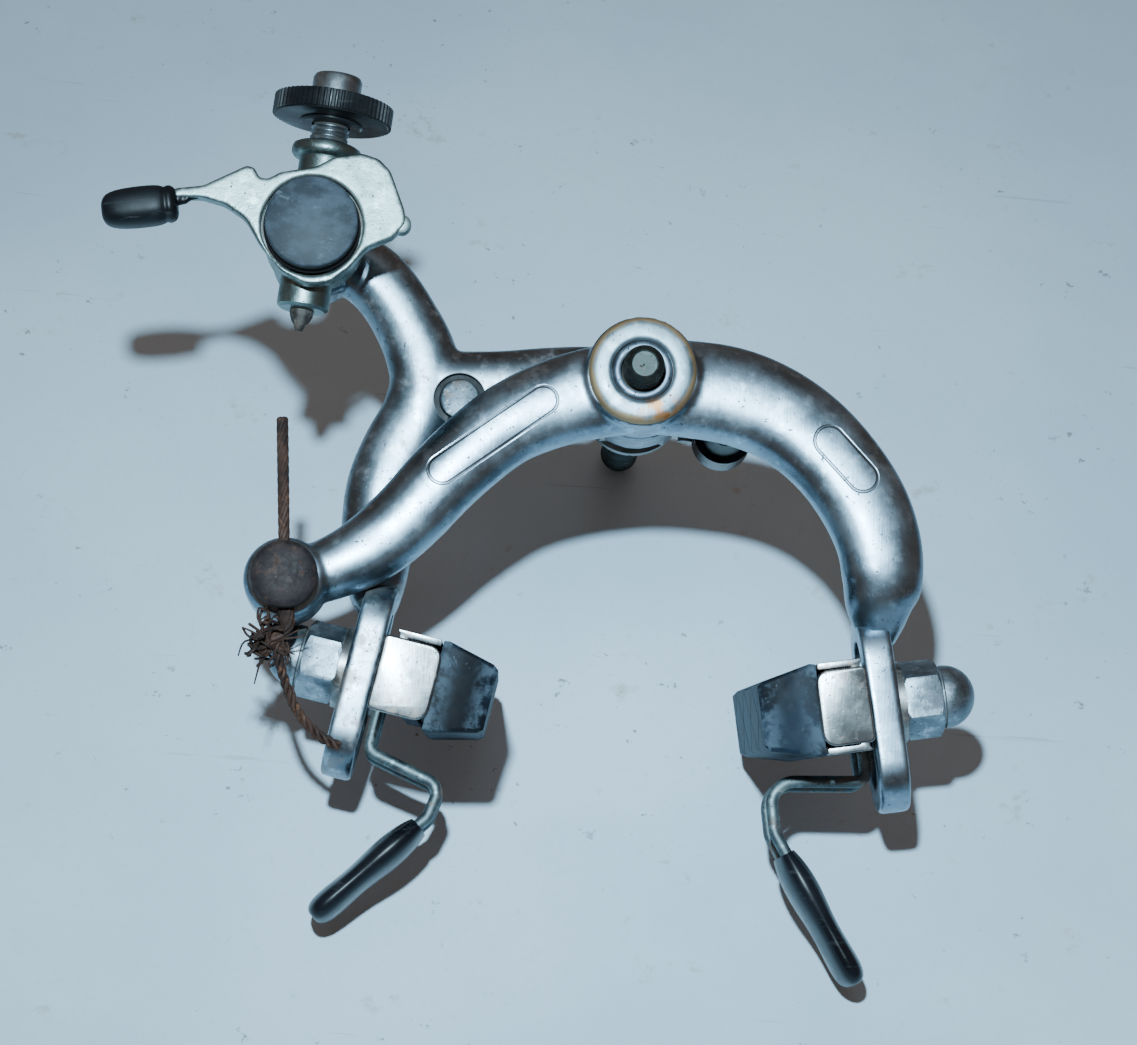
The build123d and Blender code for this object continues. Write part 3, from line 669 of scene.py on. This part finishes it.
def forged(name, parts, voxel=0.42, passes=6):
    """Overlapping solids blended into one forged surface."""
    obj = join(name, parts)
    modify(obj, "REMESH", mode="VOXEL", voxel_size=voxel * SCALE)
    modify(obj, "SMOOTH", factor=0.5, iterations=passes)
    return obj


def stand_for(obj, body, slot, look, *nodes, angle=35):
    """Show this piece in place of CAD nodes, moving with their body."""
    smooth(obj, angle)
    obj.data.materials.clear()
    obj.data.materials.append(MATERIALS[look])
    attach(obj, body)
    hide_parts(*nodes)


def stadium(half, radius, steps=12):
    """Outline of a slot in (x, y), long in y."""
    out = []
    for start, y in ((0, half), (math.pi, -half)):
        for i in range(steps + 1):
            a = start + math.pi * i / steps
            out.append((radius * math.cos(a), y + radius * math.sin(a)))
    return out


def loop_place(side):
    """Middle of a loop: side is 1 for the right one, -1 for the left one."""
    place = at(*LOOP_MID) @ turn(-LOOP_TILT, "Y")
    return place if side > 0 else MIRROR_X @ place


def loop_bar(name, side):
    """Closed slotted loop: a rounded bar bent round a stadium."""
    rings = []
    for start, z in ((0, LOOP_HALF), (math.pi, -LOOP_HALF)):
        for i in range(17):
            a = start + math.pi * i / 16
            out = Vector((0, math.cos(a), math.sin(a)))
            centre = out * LOOP_R + Vector((0, 0, z))
            rings.append([centre + out * u + Vector((w, 0, 0))
                          for u, w in superellipse(BAR_ACROSS, BAR_DEEP, 40, BAR_SQUARE)])
    return skin(name, rings, loop_place(side), closed=True)


def slot_cutter(side):
    """Open space inside a loop."""
    return prism("slot", stadium(LOOP_HALF, SLOT_R), -8, 8,
                 loop_place(side) @ ALONG_X @ turn(QUARTER, "Z"))


def front_arm():
    """C-arm: cable anchor eye at the left, slotted loop at the right."""
    f, d = FRONT_Y, ARM_DEPTH
    stations = [(-50.6, -33.8, 7.6, f, d - 1.2), (-45.6, -32.0, 8.8, f, d - 0.4),
                (-42.0, -30.4, 9.4, f, d), (-38.4, -28.2, 10.2, f, d), (-35.1, -25.3, 10.7, f, d),
                (-31.8, -21.7, 11.0, f, d), (-28.3, -17.3, 11.3, f, d), (-24.2, -12.8, 11.6, f, d),
                (-19.3, -8.4, 12.0, f, d), (-13.8, -5.3, 12.7, f, d), (-7.6, -3.0, 13.4, f, d),
                (0.0, -1.4, 14.0, f, d), (8.1, -1.3, 14.4, f, d), (14.1, -2.0, 14.4, f, d),
                (19.8, -3.9, 14.0, f, d), (25.1, -7.1, 13.6, f, d), (29.9, -11.6, 13.2, f, d),
                (33.8, -17.0, 13.0, f, d), (36.1, -22.4, 12.4, f, d), (36.9, -27.4, 11.8, -23.7, d),
                (36.8, -31.0, 10.2, -22.7, d - 0.4), (37.2, -34.2, 7.2, -20.8, d - 1.4),
                (37.6, -37.0, 3.4, -19.0, d - 3.0)]
    parts = [limb("arm", stations),
             lathe_y("boss", [(0, -29.0), (8.15, -29.0), (8.15, -18.6), (0, -18.6)]),
             lathe_y("eye", [(0, -28.9), (5.2, -28.9), (6.1, -27.6), (6.1, -20.4), (5.2, -19.4),
                             (0, -19.4)], *ANCHOR)]
    arm = forged("front_arm_visual", parts)
    cut(arm, [slot_cutter(1), drill(PIVOT_BORE), drill(ANCHOR_BORE, *ANCHOR),
              drill(POST_BORE, *RIGHT_POST, front=-25.0)])
    arm = join("front_arm_visual", [arm, loop_bar("loop", 1)])
    stand_for(arm, "front_arm_body", "polished_alloy", "arm", "front_arm", angle=50)


def rear_arm():
    """Y-arm: hanger eye at the upper left, slotted loop at the left."""
    r, d = REAR_Y, ARM_DEPTH - 0.2
    run = [(2.0, 0.0, 13.0, r - 0.3, d - 0.3), (-7.5, -0.1, 12.6, r - 0.2, d - 0.2),
           (-14.0, -0.4, 12.0, r, d), (-20.0, -0.7, 10.9, r, d), (-25.5, -0.8, 10.2, r, d),
           (-31.0, -0.6, 9.4, r, d - 0.4)]
    fork = [(-48.6, 17.1, 8.6, r, d - 0.8), (-44.5, 16.6, 9.6, r, d - 0.3),
            (-41.0, 15.1, 10.0, r, d), (-38.0, 12.4, 10.0, r, d), (-35.3, 8.7, 10.1, r, d),
            (-32.8, 4.2, 10.6, r, d), (-31.4, -0.8, 11.0, r, d), (-32.2, -6.0, 11.4, r, d),
            (-34.6, -11.2, 11.5, r, d), (-36.5, -16.5, 11.3, r, d), (-37.1, -21.8, 11.0, r, d),
            (-37.1, -27.0, 10.4, -13.4, d), (-36.9, -31.4, 9.0, -14.4, d + 0.6),
            (-36.6, -35.0, 6.8, -15.8, d + 1.6), (-36.4, -37.8, 4.0, -17.0, d + 2.2)]
    parts = [limb("run", run), limb("fork", fork),
             lathe_y("boss", [(0, -17.8), (8.1, -17.8), (8.1, -8.8), (0, -8.8)]),
             lathe_y("eye", [(0, -17.2), (5.8, -17.2), (6.7, -16.2), (6.7, -9.8), (5.8, -8.9),
                             (0, -8.9)], *HANGER)]
    arm = forged("rear_arm_visual", parts, passes=9)
    seat = REAR_Y - d / 2 + 1.2
    post = [(0, CUT_FRONT), (POST_POCKET, CUT_FRONT), (POST_POCKET, seat), (POST_BORE, seat),
            (POST_BORE, CUT_BACK), (0, CUT_BACK)]
    cut(arm, [slot_cutter(-1), drill(PIVOT_BORE), drill(HANGER_BORE, *HANGER),
              lathe_y("post", post, *LEFT_POST)])
    arm = join("rear_arm_visual", [arm, loop_bar("loop", -1)])
    stand_for(arm, "rear_arm_body", "polished_alloy", "rear_arm", "rear_arm", angle=50)


def thread(low, high, y0, y1, pitch):
    """Profile of a screw thread from y0 to y1 as (radius, y) pairs."""
    out, y = [], y0
    while y < y1 - pitch:
        out += [(low, y), (high, y + pitch * 0.42), (high, y + pitch * 0.58),
                (low, y + pitch * 0.98)]
        y += pitch
    return out


def pivot():
    """Bolt, ring and bush on the main axis, and the riveted left spring post."""
    bolt = [(0, -34.9), (1.8, -34.9), (2.0, -35.0), (2.15, -34.9), (2.7, -34.25)]
    bolt += thread(2.5, 2.95, -34.1, -29.0, 0.8)
    bolt += [(3.0, -29.0), (3.0, -1.3), (2.7, -1.2), (2.7, 0.0)] + thread(2.55, 3.0, 0.2, 44.2, 1.0)
    bolt += [(2.6, 44.4), (2.1, 45.0), (0, 45.0)]
    stand_for(lathe_y("pivot_bolt_visual", bolt), "mount", "bolt_steel", "stud", "pivot_bolt",
              angle=24)
    ring = [(4.5, -29.06), (4.5, -30.0), (4.75, -30.3), (5.2, -30.36), (6.6, -30.3), (7.35, -30.05),
            (7.8, -29.6), (7.85, -29.06), (4.5, -29.06)]
    stand_for(lathe_y("front_ring_visual", ring, count=96), "mount", "chromed_ring", "ring",
              "front_ring", angle=50)
    bush = [(3.08, -29.4), (3.2, -30.05), (3.4, -30.15), (4.1, -30.15), (4.34, -29.9), (4.35, -8.9),
            (3.08, -8.9), (3.08, -29.4)]
    stand_for(lathe_y("pivot_bush_visual", bush), "mount", "bush_steel", "bush", "pivot_bush",
              angle=50)
    head = REAR_Y - ARM_DEPTH / 2 + 0.1
    post = [(0, head + 0.05), (2.5, head + 0.05), (2.85, head + 0.15), (3.0, head + 0.5),
            (3.0, head + 1.1), (2.45, head + 1.2), (2.45, -2.5), (3.3, -2.4), (3.3, -1.4),
            (0, -1.4)]
    stand_for(lathe_y("left_post_visual", post, *LEFT_POST), "rear_arm_body", "bolt_steel",
              "chrome", "left_spring_post")


def hexagon(across):
    """Outline with this size across flats."""
    r = across / math.sqrt(3)
    corners = [math.pi / 6 + i * math.pi / 3 for i in range(6)]
    return [(r * math.cos(a), r * math.sin(a)) for a in corners]


def acorn_nut(name, matrix):
    """Chamfered hexagon with a dome, bored for the post."""
    nut = prism("nut", hexagon(NUT_ACROSS), NUT_FROM, NUT_TO, matrix @ ALONG_X @ turn(QUARTER, "Z"))
    form = [(0, 3.0), (5.1, 3.0), (5.45, 3.5), (6.0, 4.1), (6.0, 8.2), (5.35, 8.6), (4.9, NUT_TO),
            (0, 9.2)]
    cut(nut, [lathe("form", form, matrix @ ALONG_X, 48)], "INTERSECT")
    bevel(nut, 0.16, 2, 25)
    dome = [(0, 8.5), (4.2, 8.6), (4.25, 9.2), (DOME_R, 9.35)]
    dome += [(DOME_R * math.cos(a), DOME_FROM + DOME_HIGH * math.sin(a))
             for a in [QUARTER * i / 12 for i in range(12)]]
    top = lathe("dome", dome + [(0, 14.1)], matrix @ ALONG_X, 48)
    nut = join(name, [nut, top])
    cut(nut, [lathe("bore", [(0, 2.9), (NUT_BORE, 2.9), (NUT_BORE, 11), (0, 11)], matrix @ ALONG_X,
                    32)])
    return nut


def slab(name, outline, y0, y1, width, matrix):
    """Outline in local X and Z, between two Y limits, with rounded edges."""
    return bevel(prism(name, outline, -y1, -y0, matrix @ FLAT_XZ), width, 3, 35)


def pad_holder(name, matrix, inner):
    """Pressed channel: back, two flanges and a separate folded tab across its front end."""
    edge, back, high, nose = HOLDER_EDGE, HOLDER_BACK, HOLDER_HIGH, HOLDER_NOSE
    parts = []
    for s in (1, -1):
        lip = [(edge + 0.1, s * (high - 0.95)), (edge + 0.1, s * high), (back + 0.5, s * high),
               (back, s * (high - 0.6)), (back, 0), (back - 1.1, 0),
               (back - 1.1, s * (high - 0.95))]
        lip = rounded(lip, [0.3, 0.5, 0.9, 0.5, 0, 0, 0.5], 4)
        parts.append(slab("lip", lip, nose + 0.25, HOLDER_TAIL, 0.2, matrix))
    tab = rounded([(edge - 0.35, -5.4), (edge - 0.35, 5.4), (inner, 5.4), (inner, -5.4)],
                  [2.2, 2.2, 0.9, 0.9], 6)
    parts.append(slab("tab", tab, nose - 0.1, nose + 1.0, 0.32, matrix))
    holder = join(name, parts)
    cut(holder, [lathe("hole", [(0, -8), (3.0, -8), (3.0, -3), (0, -3)], matrix @ ALONG_X, 32)])
    return holder


def brake_pad(name, matrix):
    """Rubber block, tapering to a braking face with crossed grooves."""
    edge, high, half, face = HOLDER_EDGE, HOLDER_HIGH, PAD_HALF, PAD_FACE
    rows = [(edge + 3.4, high - 1.25, half), (edge + 0.98, high - 1.25, half),
            (edge + 0.98, 4.6, half), (edge - 0.1, 4.6, half),
            (edge - 0.1, high - 0.05, half + 0.6), (edge - 0.9, high + 0.1, half + 0.7),
            (-15.2, 5.8, half + 0.3), (face + 0.8, 5.0, half - 0.4), (face, 4.4, half - 1.0)]
    rings = []
    for x, z, y in rows:
        corner = min(0.8, z * 0.2)
        ring = rounded([(-y, -z), (y, -z), (y, z), (-y, z)], corner, 4)
        rings.append([(x, p[0], p[1]) for p in ring])
    pad = skin(name, rings, matrix)
    wide, tall = GROOVE_WIDE, GROOVE_LONG
    outline = [(-wide, -tall), (wide, -tall), (wide, tall), (-wide, tall)]
    for i in range(GROOVE_PAIRS):
        crossing = matrix @ at(face, GROOVE_FIRST + GROOVE_STEP * i, 0)
        for lean in (GROOVE_LEAN, -GROOVE_LEAN):
            place = crossing @ turn(math.radians(lean), "X")
            cut(pad, [prism("groove", outline, -GROOVE_DEEP, GROOVE_DEEP, place)])
    return bevel(pad, 0.12, 2, 50)


def shoes():
    """Nut, holder and pad of each side; the left holder's tab reaches further to its loop."""
    for side, matrix, inner in (("right", ON_RIGHT, -4.0), ("left", ON_LEFT, -2.8)):
        body = side + "_shoe"
        nose = matrix @ turn(NOSE_DOWN, "X")
        stand_for(acorn_nut(side + "_acorn_visual", matrix), body, "nut_chrome", "nut",
                  side + "_acorn_nut")
        stand_for(pad_holder(side + "_holder_visual", nose, inner), body, "chromed_steel", "holder",
                  side + "_pad_holder")
        stand_for(brake_pad(side + "_pad_visual", nose), body, "pad_rubber", "pad",
                  side + "_brake_pad")


def knurled(radius, depth, count):
    """Outline of a ribbed wheel."""
    out = []
    for i in range(count):
        for share, r in ((0.0, radius - depth), (0.22, radius), (0.62, radius),
                         (0.84, radius - depth)):
            a = math.tau * (i + share) / count
            out.append((r * math.cos(a), r * math.sin(a)))
    return out


def adjuster():
    """Thumbwheel, barrel, stop tube and the worn end of the liner, on the hanger's axis."""
    ribs = prism("ribs", knurled(8.78, 0.32, 64), 17.35, 20.05, ON_TUBE)
    core = [(2.82, 16.5), (4.3, 16.5), (4.6, 16.75), (4.6, 17.0), (7.4, 16.95), (8.3, 17.15),
            (8.5, 17.5), (8.5, 19.9), (8.2, 20.2), (7.2, 20.25), (6.4, 19.95), (4.4, 19.9),
            (4.2, 20.2), (3.7, 20.2), (3.7, 19.45), (2.82, 19.4), (2.82, 16.5)]
    wheel = join("thumbwheel_visual", [lathe("core", core, ON_TUBE, 96), ribs])
    stand_for(wheel, "adjuster", "black_wheel", "wheel", "thumbwheel", angle=30)
    barrel = [(1.2, -3.8), (2.6, -3.8), (2.8, -3.5), (2.8, 11.0)]
    barrel += thread(2.45, 2.82, 11.2, 17.2, 0.75)
    barrel += [(2.8, 17.2), (2.8, 19.45), (3.6, 19.5), (3.62, 23.5), (3.35, 24.0), (2.75, 24.0),
               (2.55, 23.7), (2.55, 18.0), (1.2, 18.0), (1.2, -3.8)]
    stand_for(lathe("barrel_visual", barrel, ON_TUBE), "adjuster", "satin_alloy", "barrel",
              "adjuster_barrel")
    tube = [(1.7, -11.2), (3.3, -11.2), (3.75, -10.8), (3.8, -10.2), (3.8, 11.0), (3.95, 11.35),
            (4.75, 11.5), (5.1, 11.95), (5.15, 12.6), (4.95, 13.2), (4.4, 13.5), (3.2, 13.55),
            (2.86, 13.3), (2.86, -8.0), (1.7, -8.0), (1.7, -11.2)]
    stand_for(lathe("stop_tube_visual", tube, ON_TUBE), "tube", "satin_alloy", "satin", "stop_tube")
    nose = lathe("liner_visual", [(0, -14.3), (0.55, -14.2), (0.9, -13.5), (1.3, -12.7),
                                  (1.62, -11.9), (1.66, -4.0), (0, -4.0)], ON_TUBE, 24)
    for vertex in nose.data.vertices:
        vertex.co += Vector([random.uniform(-0.14, 0.14) * SCALE for _ in range(3)])
    stand_for(nose, "liner", "liner_grey", "grime_and_shade", "adjuster_liner")


def lever():
    """Cast quick-release lever with its rivet and grip, and the disc in its middle."""
    outline = [(-49.0, 25.6), (-54.1, 24.4), (-55.8, 23.3), (-57.0, 23.4), (-57.8, 24.8),
               (-58.9, 25.1), (-65.0, 21.7), (-69.2, 21.0), (-69.2, 19.6), (-65.2, 19.9),
               (-61.7, 19.1), (-58.6, 17.2), (-56.4, 13.8), (-53.0, 9.9), (-49.3, 8.1),
               (-45.8, 8.6), (-43.2, 11.0), (-41.0, 14.0), (-37.2, 15.9), (-35.6, 18.0),
               (-35.8, 19.9), (-38.2, 25.6), (-40.0, 27.3), (-42.6, 28.0), (-46.4, 27.2)]
    radii = [0, 1.2, 0.9, 0.8, 0.5, 1.2, 2, 0.5, 0.5, 2, 3, 4, 4, 3, 3, 3, 2.5, 3, 1.6, 1.4, 2, 2.4,
             1.8, 2.2, 2]
    outline = [(p[0], p[1]) for p in rounded(outline, radii, 4)]
    plate = prism("plate", outline, LEVER_BACK, LEVER_FRONT, FLAT_XZ)
    cut(plate, [drill(7.6, *HANGER, front=-34.3, back=-30)])
    cut(plate, [drill(7.3, *DISC_AT, back=-30)])
    plate = forged("lever_visual", [plate], 0.24, 7)
    stand_for(plate, "lever", "satin_alloy", "satin", "release_lever", angle=60)
    rivet = [(0, -35.75), (0.9, -35.7), (1.3, -35.5), (1.45, -35.1), (1.45, -33.8), (0, -33.8)]
    stand_for(lathe_y("rivet_visual", rivet, -36.2, 18.0, 32), "lever", "bright_rivet", "satin",
              "lever_stop")
    grip = at(-73.7, -34.8, 18.1) @ turn(math.radians(-10), "Y")
    rings = []
    for t, height, depth in [(-5.7, 1.6, 1.6), (-5.5, 3.2, 3.4), (-4.9, 4.6, 5.0), (-3.6, 5.5, 5.9),
                             (-1.2, 5.9, 6.2), (1.4, 5.9, 6.2), (3.0, 5.6, 6.0), (3.4, 5.0, 5.4),
                             (3.7, 5.0, 5.4), (4.1, 5.5, 5.8), (4.9, 4.9, 5.2), (5.4, 3.4, 3.4)]:
        rings.append([(t, u, w) for w, u in superellipse(height, depth, 32, 2.6)])
    shape = skin("grip", rings, grip)
    modify(shape, "SUBSURF", levels=1)
    neck = []
    for i in range(26):
        t = i / 25
        centre = Vector((-69.9 + 4.6 * t, -34.9, 19.1 + 1.5 * t + 0.15 * math.sin(t * 9)))
        size = 1.15 - 0.4 * t + 0.06 * math.sin(t * 23)
        neck.append([centre + Vector((0.25 * math.cos(a), math.cos(a + 3 * t), math.sin(a + 3 * t)))
                     * size * (1 + 0.10 * math.cos(3 * a + 9 * t)) for a in circle(18)])
    shape = join("grip_visual", [shape, skin("neck", neck)])
    stand_for(shape, "lever", "black_grip", "grip", "lever_grip")
    disc = [(0, -38.6), (6.25, -38.58), (6.55, -38.45), (6.68, -38.15), (6.62, -35.9),
            (6.98, -35.6), (7.0, -34.02), (3.04, -34.02), (3.04, -36.0), (0, -36.0)]
    stand_for(lathe_y("disc_visual", disc, *DISC_AT, 96), "hanger", "disc_grey", "disc",
              "hanger_disc")


def rope(name, points, radius, wires, pitch, grow=1.0):
    """Twisted bundle of wires along a line; grow spreads them towards the end."""
    line = [Vector(p) for p in spline(points, 10)]
    lengths = [0.0]
    for a, b in zip(line, line[1:]):
        lengths.append(lengths[-1] + (b - a).length)
    thin = radius * 0.46
    made = []
    for k in range(wires):
        path, side = [], None
        for i, p in enumerate(line):
            run = (line[min(i + 1, len(line) - 1)] - line[max(i - 1, 0)]).normalized()
            if side is None:
                side = run.orthogonal().normalized()
            else:
                side = (side - run * side.dot(run)).normalized()
            a = math.tau * (k / wires + lengths[i] / pitch)
            spread = (radius - thin) * (1 + (grow - 1) * lengths[i] / lengths[-1])
            path.append(p + (side * math.cos(a) + run.cross(side) * math.sin(a)) * spread)
        made.append(tube_along("wire", path, thin, 8, 2))
    return join(name, made)


def cable():
    """Cut cable end, its frayed strands and the bolt head that clamps it."""
    along = Vector((-math.sin(CABLE_LEAN), 0, math.cos(CABLE_LEAN)))
    foot = Vector((ANCHOR[0], CABLE_Y, ANCHOR[1]))
    stub = rope("stub", [foot + along * t for t in (-6.0, 0, 8, 16, 22.8)], 0.88, 6, 9.0)
    stand_for(stub, "anchor", "rusty_steel", "rusty", "cable_stub")
    knot = Vector(KNOT)
    made = []
    for i in range(38):
        start = knot + Vector([random.gauss(0, s) for s in (1.5, 0.9, 2.0)])
        path, run = [start], Vector([random.gauss(0, 1) for _ in range(3)]).normalized()
        for _ in range(random.randint(4, 7)):
            pull = (knot - path[-1]) * 0.22
            run = (run + pull + Vector([random.gauss(0, 0.7) for _ in range(3)])).normalized()
            path.append(path[-1] + run * random.uniform(0.8, 1.5))
        made.append(tube_along("curl", path, random.uniform(0.13, 0.26), 7, 3))
    for reach in ((-3.4, -0.5, 1.4), (-3.8, -0.2, -2.6), (4.6, -0.8, 1.6), (5.6, -0.4, 0.9),
                  (4.2, -0.9, -2.0), (-1.2, -0.6, -6.5)):
        end = knot + Vector(reach)
        mid = (knot + end) / 2 + Vector([random.gauss(0, 0.6) for _ in range(3)])
        made.append(tube_along("end", [knot, mid, end], [0.22, 0.10], 7, 4))
    made.append(rope("tail", [foot + along * -5.6, knot + Vector((1.4, 0, 0.2)),
                              (-48.9, -29.6, -47.4), (-46.6, -29.2, -52.4), (-43.4, -28.4, -55.6),
                              (-40.4, -27.4, -57.0)], 0.72, 3, 4.2, 1.25))
    made.append(rope("bunch", [foot + along * -4.0, foot + along * -7.0,
                               knot + Vector((0.4, 0, 0))], 1.2, 7, 14.0, 1.2))
    stand_for(join("strands_visual", made), "anchor", "rusty_steel", "rusty", "cable_strands")
    head = [(0, -34.35), (2.4, -34.25), (3.9, -33.9), (4.65, -33.3), (4.85, -32.7), (4.8, -31.4),
            (3.2, -31.3), (3.2, -28.8), (2.5, -28.7), (2.5, -12.6), (0, -12.6)]
    bolt = lathe_y("anchor_bolt_visual", head, *ANCHOR)
    cut(bolt, [lathe("drill", [(0, -20), (0.95, -20), (0.95, 30), (0, 30)],
                     at(*foot) @ turn(-CABLE_LEAN, "Y"), 16)])
    stand_for(bolt, "anchor", "rusty_steel", "anchor", "anchor_bolt")


front_arm()
rear_arm()
pivot()
shoes()
adjuster()
lever()
cable()


# ---- floor, light and camera ----
FLOOR_RESTS = [(0, 45.3, -1), (35.6, -11.0, -87), (-42, -11.0, -82)]
FLOOR_GAP, FLOOR_HALF = 0.4, 2500
WORLD_TONE = (0.200, 0.142, 0.116, 1)
CAMERA_AT = (-23.49, -569.99, -104.73)
CAMERA_AIM = (-9.36, -26.36, -22.45)
CAMERA_UP = (-0.0593, 0, 0.9982)
LENS, SENSOR = 120.2, 36.0


def floor():
    """Large pale plane that the bolt end and the wheel guides rest on, seen from its front only."""
    a, b, c = [Vector(rest) for rest in FLOOR_RESTS]
    normal = (b - a).cross(c - a).normalized()
    if normal.y > 0:
        normal = -normal
    across = Vector((1, 0, 0)) - normal * normal.x
    across.normalize()
    up = normal.cross(across)
    centre = (a + b + c) / 3 - normal * FLOOR_GAP
    corners = [centre + across * u * FLOOR_HALF + up * w * FLOOR_HALF
               for u, w in ((-1, -1), (1, -1), (1, 1), (-1, 1))]
    data = bpy.data.meshes.new("floor")
    data.from_pydata([p * SCALE for p in corners], [], [(0, 1, 2, 3)])
    obj = in_scene("floor", data)
    if (data.polygons[0].normal - normal).length > 1:
        data.flip_normals()
    m = Look("floor_paint")
    tone = m.noise(9, 5, 0.6)
    base = m.mix(m.level(tone, 0.3, 0.7), (0.40, 0.54, 0.64), (0.50, 0.64, 0.74))
    grain = m.noise(800, 3, 0.7)
    base = m.mix(m.times(m.level(grain, 0.55, 0.75), 0.25), base, (0.34, 0.45, 0.53))
    speck = m.times(m.level(m.noise(330, 4, 0.75), 0.65, 0.69), m.level(m.noise(28, 3), 0.44, 0.58))
    base = m.mix(m.times(speck, 0.75), base, (0.16, 0.16, 0.16))
    stain = m.times(m.level(m.noise(70, 5, 0.7), 0.60, 0.70), m.level(m.noise(420, 4), 0.45, 0.6))
    base = m.mix(m.times(stain, 0.5), base, (0.34, 0.30, 0.24))
    line = m.level(m.noise(150, 3, 0.6, stretch=(0.08, 3.0, 3.0), turn=(0, 0.25, 0)), 0.70, 0.74)
    base = m.mix(m.times(line, 0.35), base, (0.24, 0.28, 0.30))
    m.done(base, 0.5, 0.0, m.bump(m.plus(grain, m.times(line, -0.5)), 0.2, 0.2))
    clear = m.node("BsdfTransparent")
    shown = m.node("MixShader", {0: m.node("NewGeometry").outputs["Backfacing"],
                                 1: m.bsdf.outputs[0], 2: clear.outputs[0]})
    out = [n for n in m.tree.nodes if n.bl_idname == "ShaderNodeOutputMaterial"][0]
    m.tree.links.new(shown.outputs[0], out.inputs[0])
    data.materials.append(m.material)


def area_light(name, place, aim, size, power, color, spread=180):
    """Round soft light; places and size in metres, power in watts, spread in degrees."""
    data = bpy.data.lights.new(name, "AREA")
    data.shape = "DISK"
    data.size = size
    data.energy = power
    data.color = color
    data.spread = math.radians(spread)
    obj = in_scene(name, data)
    obj.location = Vector(place)
    obj.rotation_euler = (Vector(aim) - Vector(place)).to_track_quat("-Z", "Y").to_euler()


def world():
    """Dim warm surroundings, which fill the shadows."""
    made = bpy.data.worlds.new("studio")
    made.use_nodes = True
    background = made.node_tree.nodes["Background"]
    background.inputs[0].default_value = WORLD_TONE
    background.inputs[1].default_value = 1.0
    bpy.context.scene.world = made


def camera():
    """Below and in front of the caliper, rolled a little, through a long lens."""
    data = bpy.data.cameras.new("camera")
    data.lens = LENS
    data.sensor_width = SENSOR
    data.clip_start = 0.01
    obj = in_scene("camera", data)
    place = Vector(CAMERA_AT)
    back = (place - Vector(CAMERA_AIM)).normalized()
    right = Vector(CAMERA_UP).cross(back).normalized()
    above = back.cross(right)
    obj.matrix_world = at(*(place * SCALE)) @ Matrix((right, above, back)).transposed().to_4x4()
    bpy.context.scene.camera = obj


floor()
world()
camera()
# a small flash near the camera and a weak wide fill from above it
area_light("key", (-0.058, -0.58, 0.035), (0.005, 0, -0.04), 0.022, 0.88, (0.60, 0.85, 1.0), 60)
area_light("lift", (0.05, -0.60, 0.42), (0, 0, -0.03), 0.30, 0.16, (0.80, 0.92, 1.0))
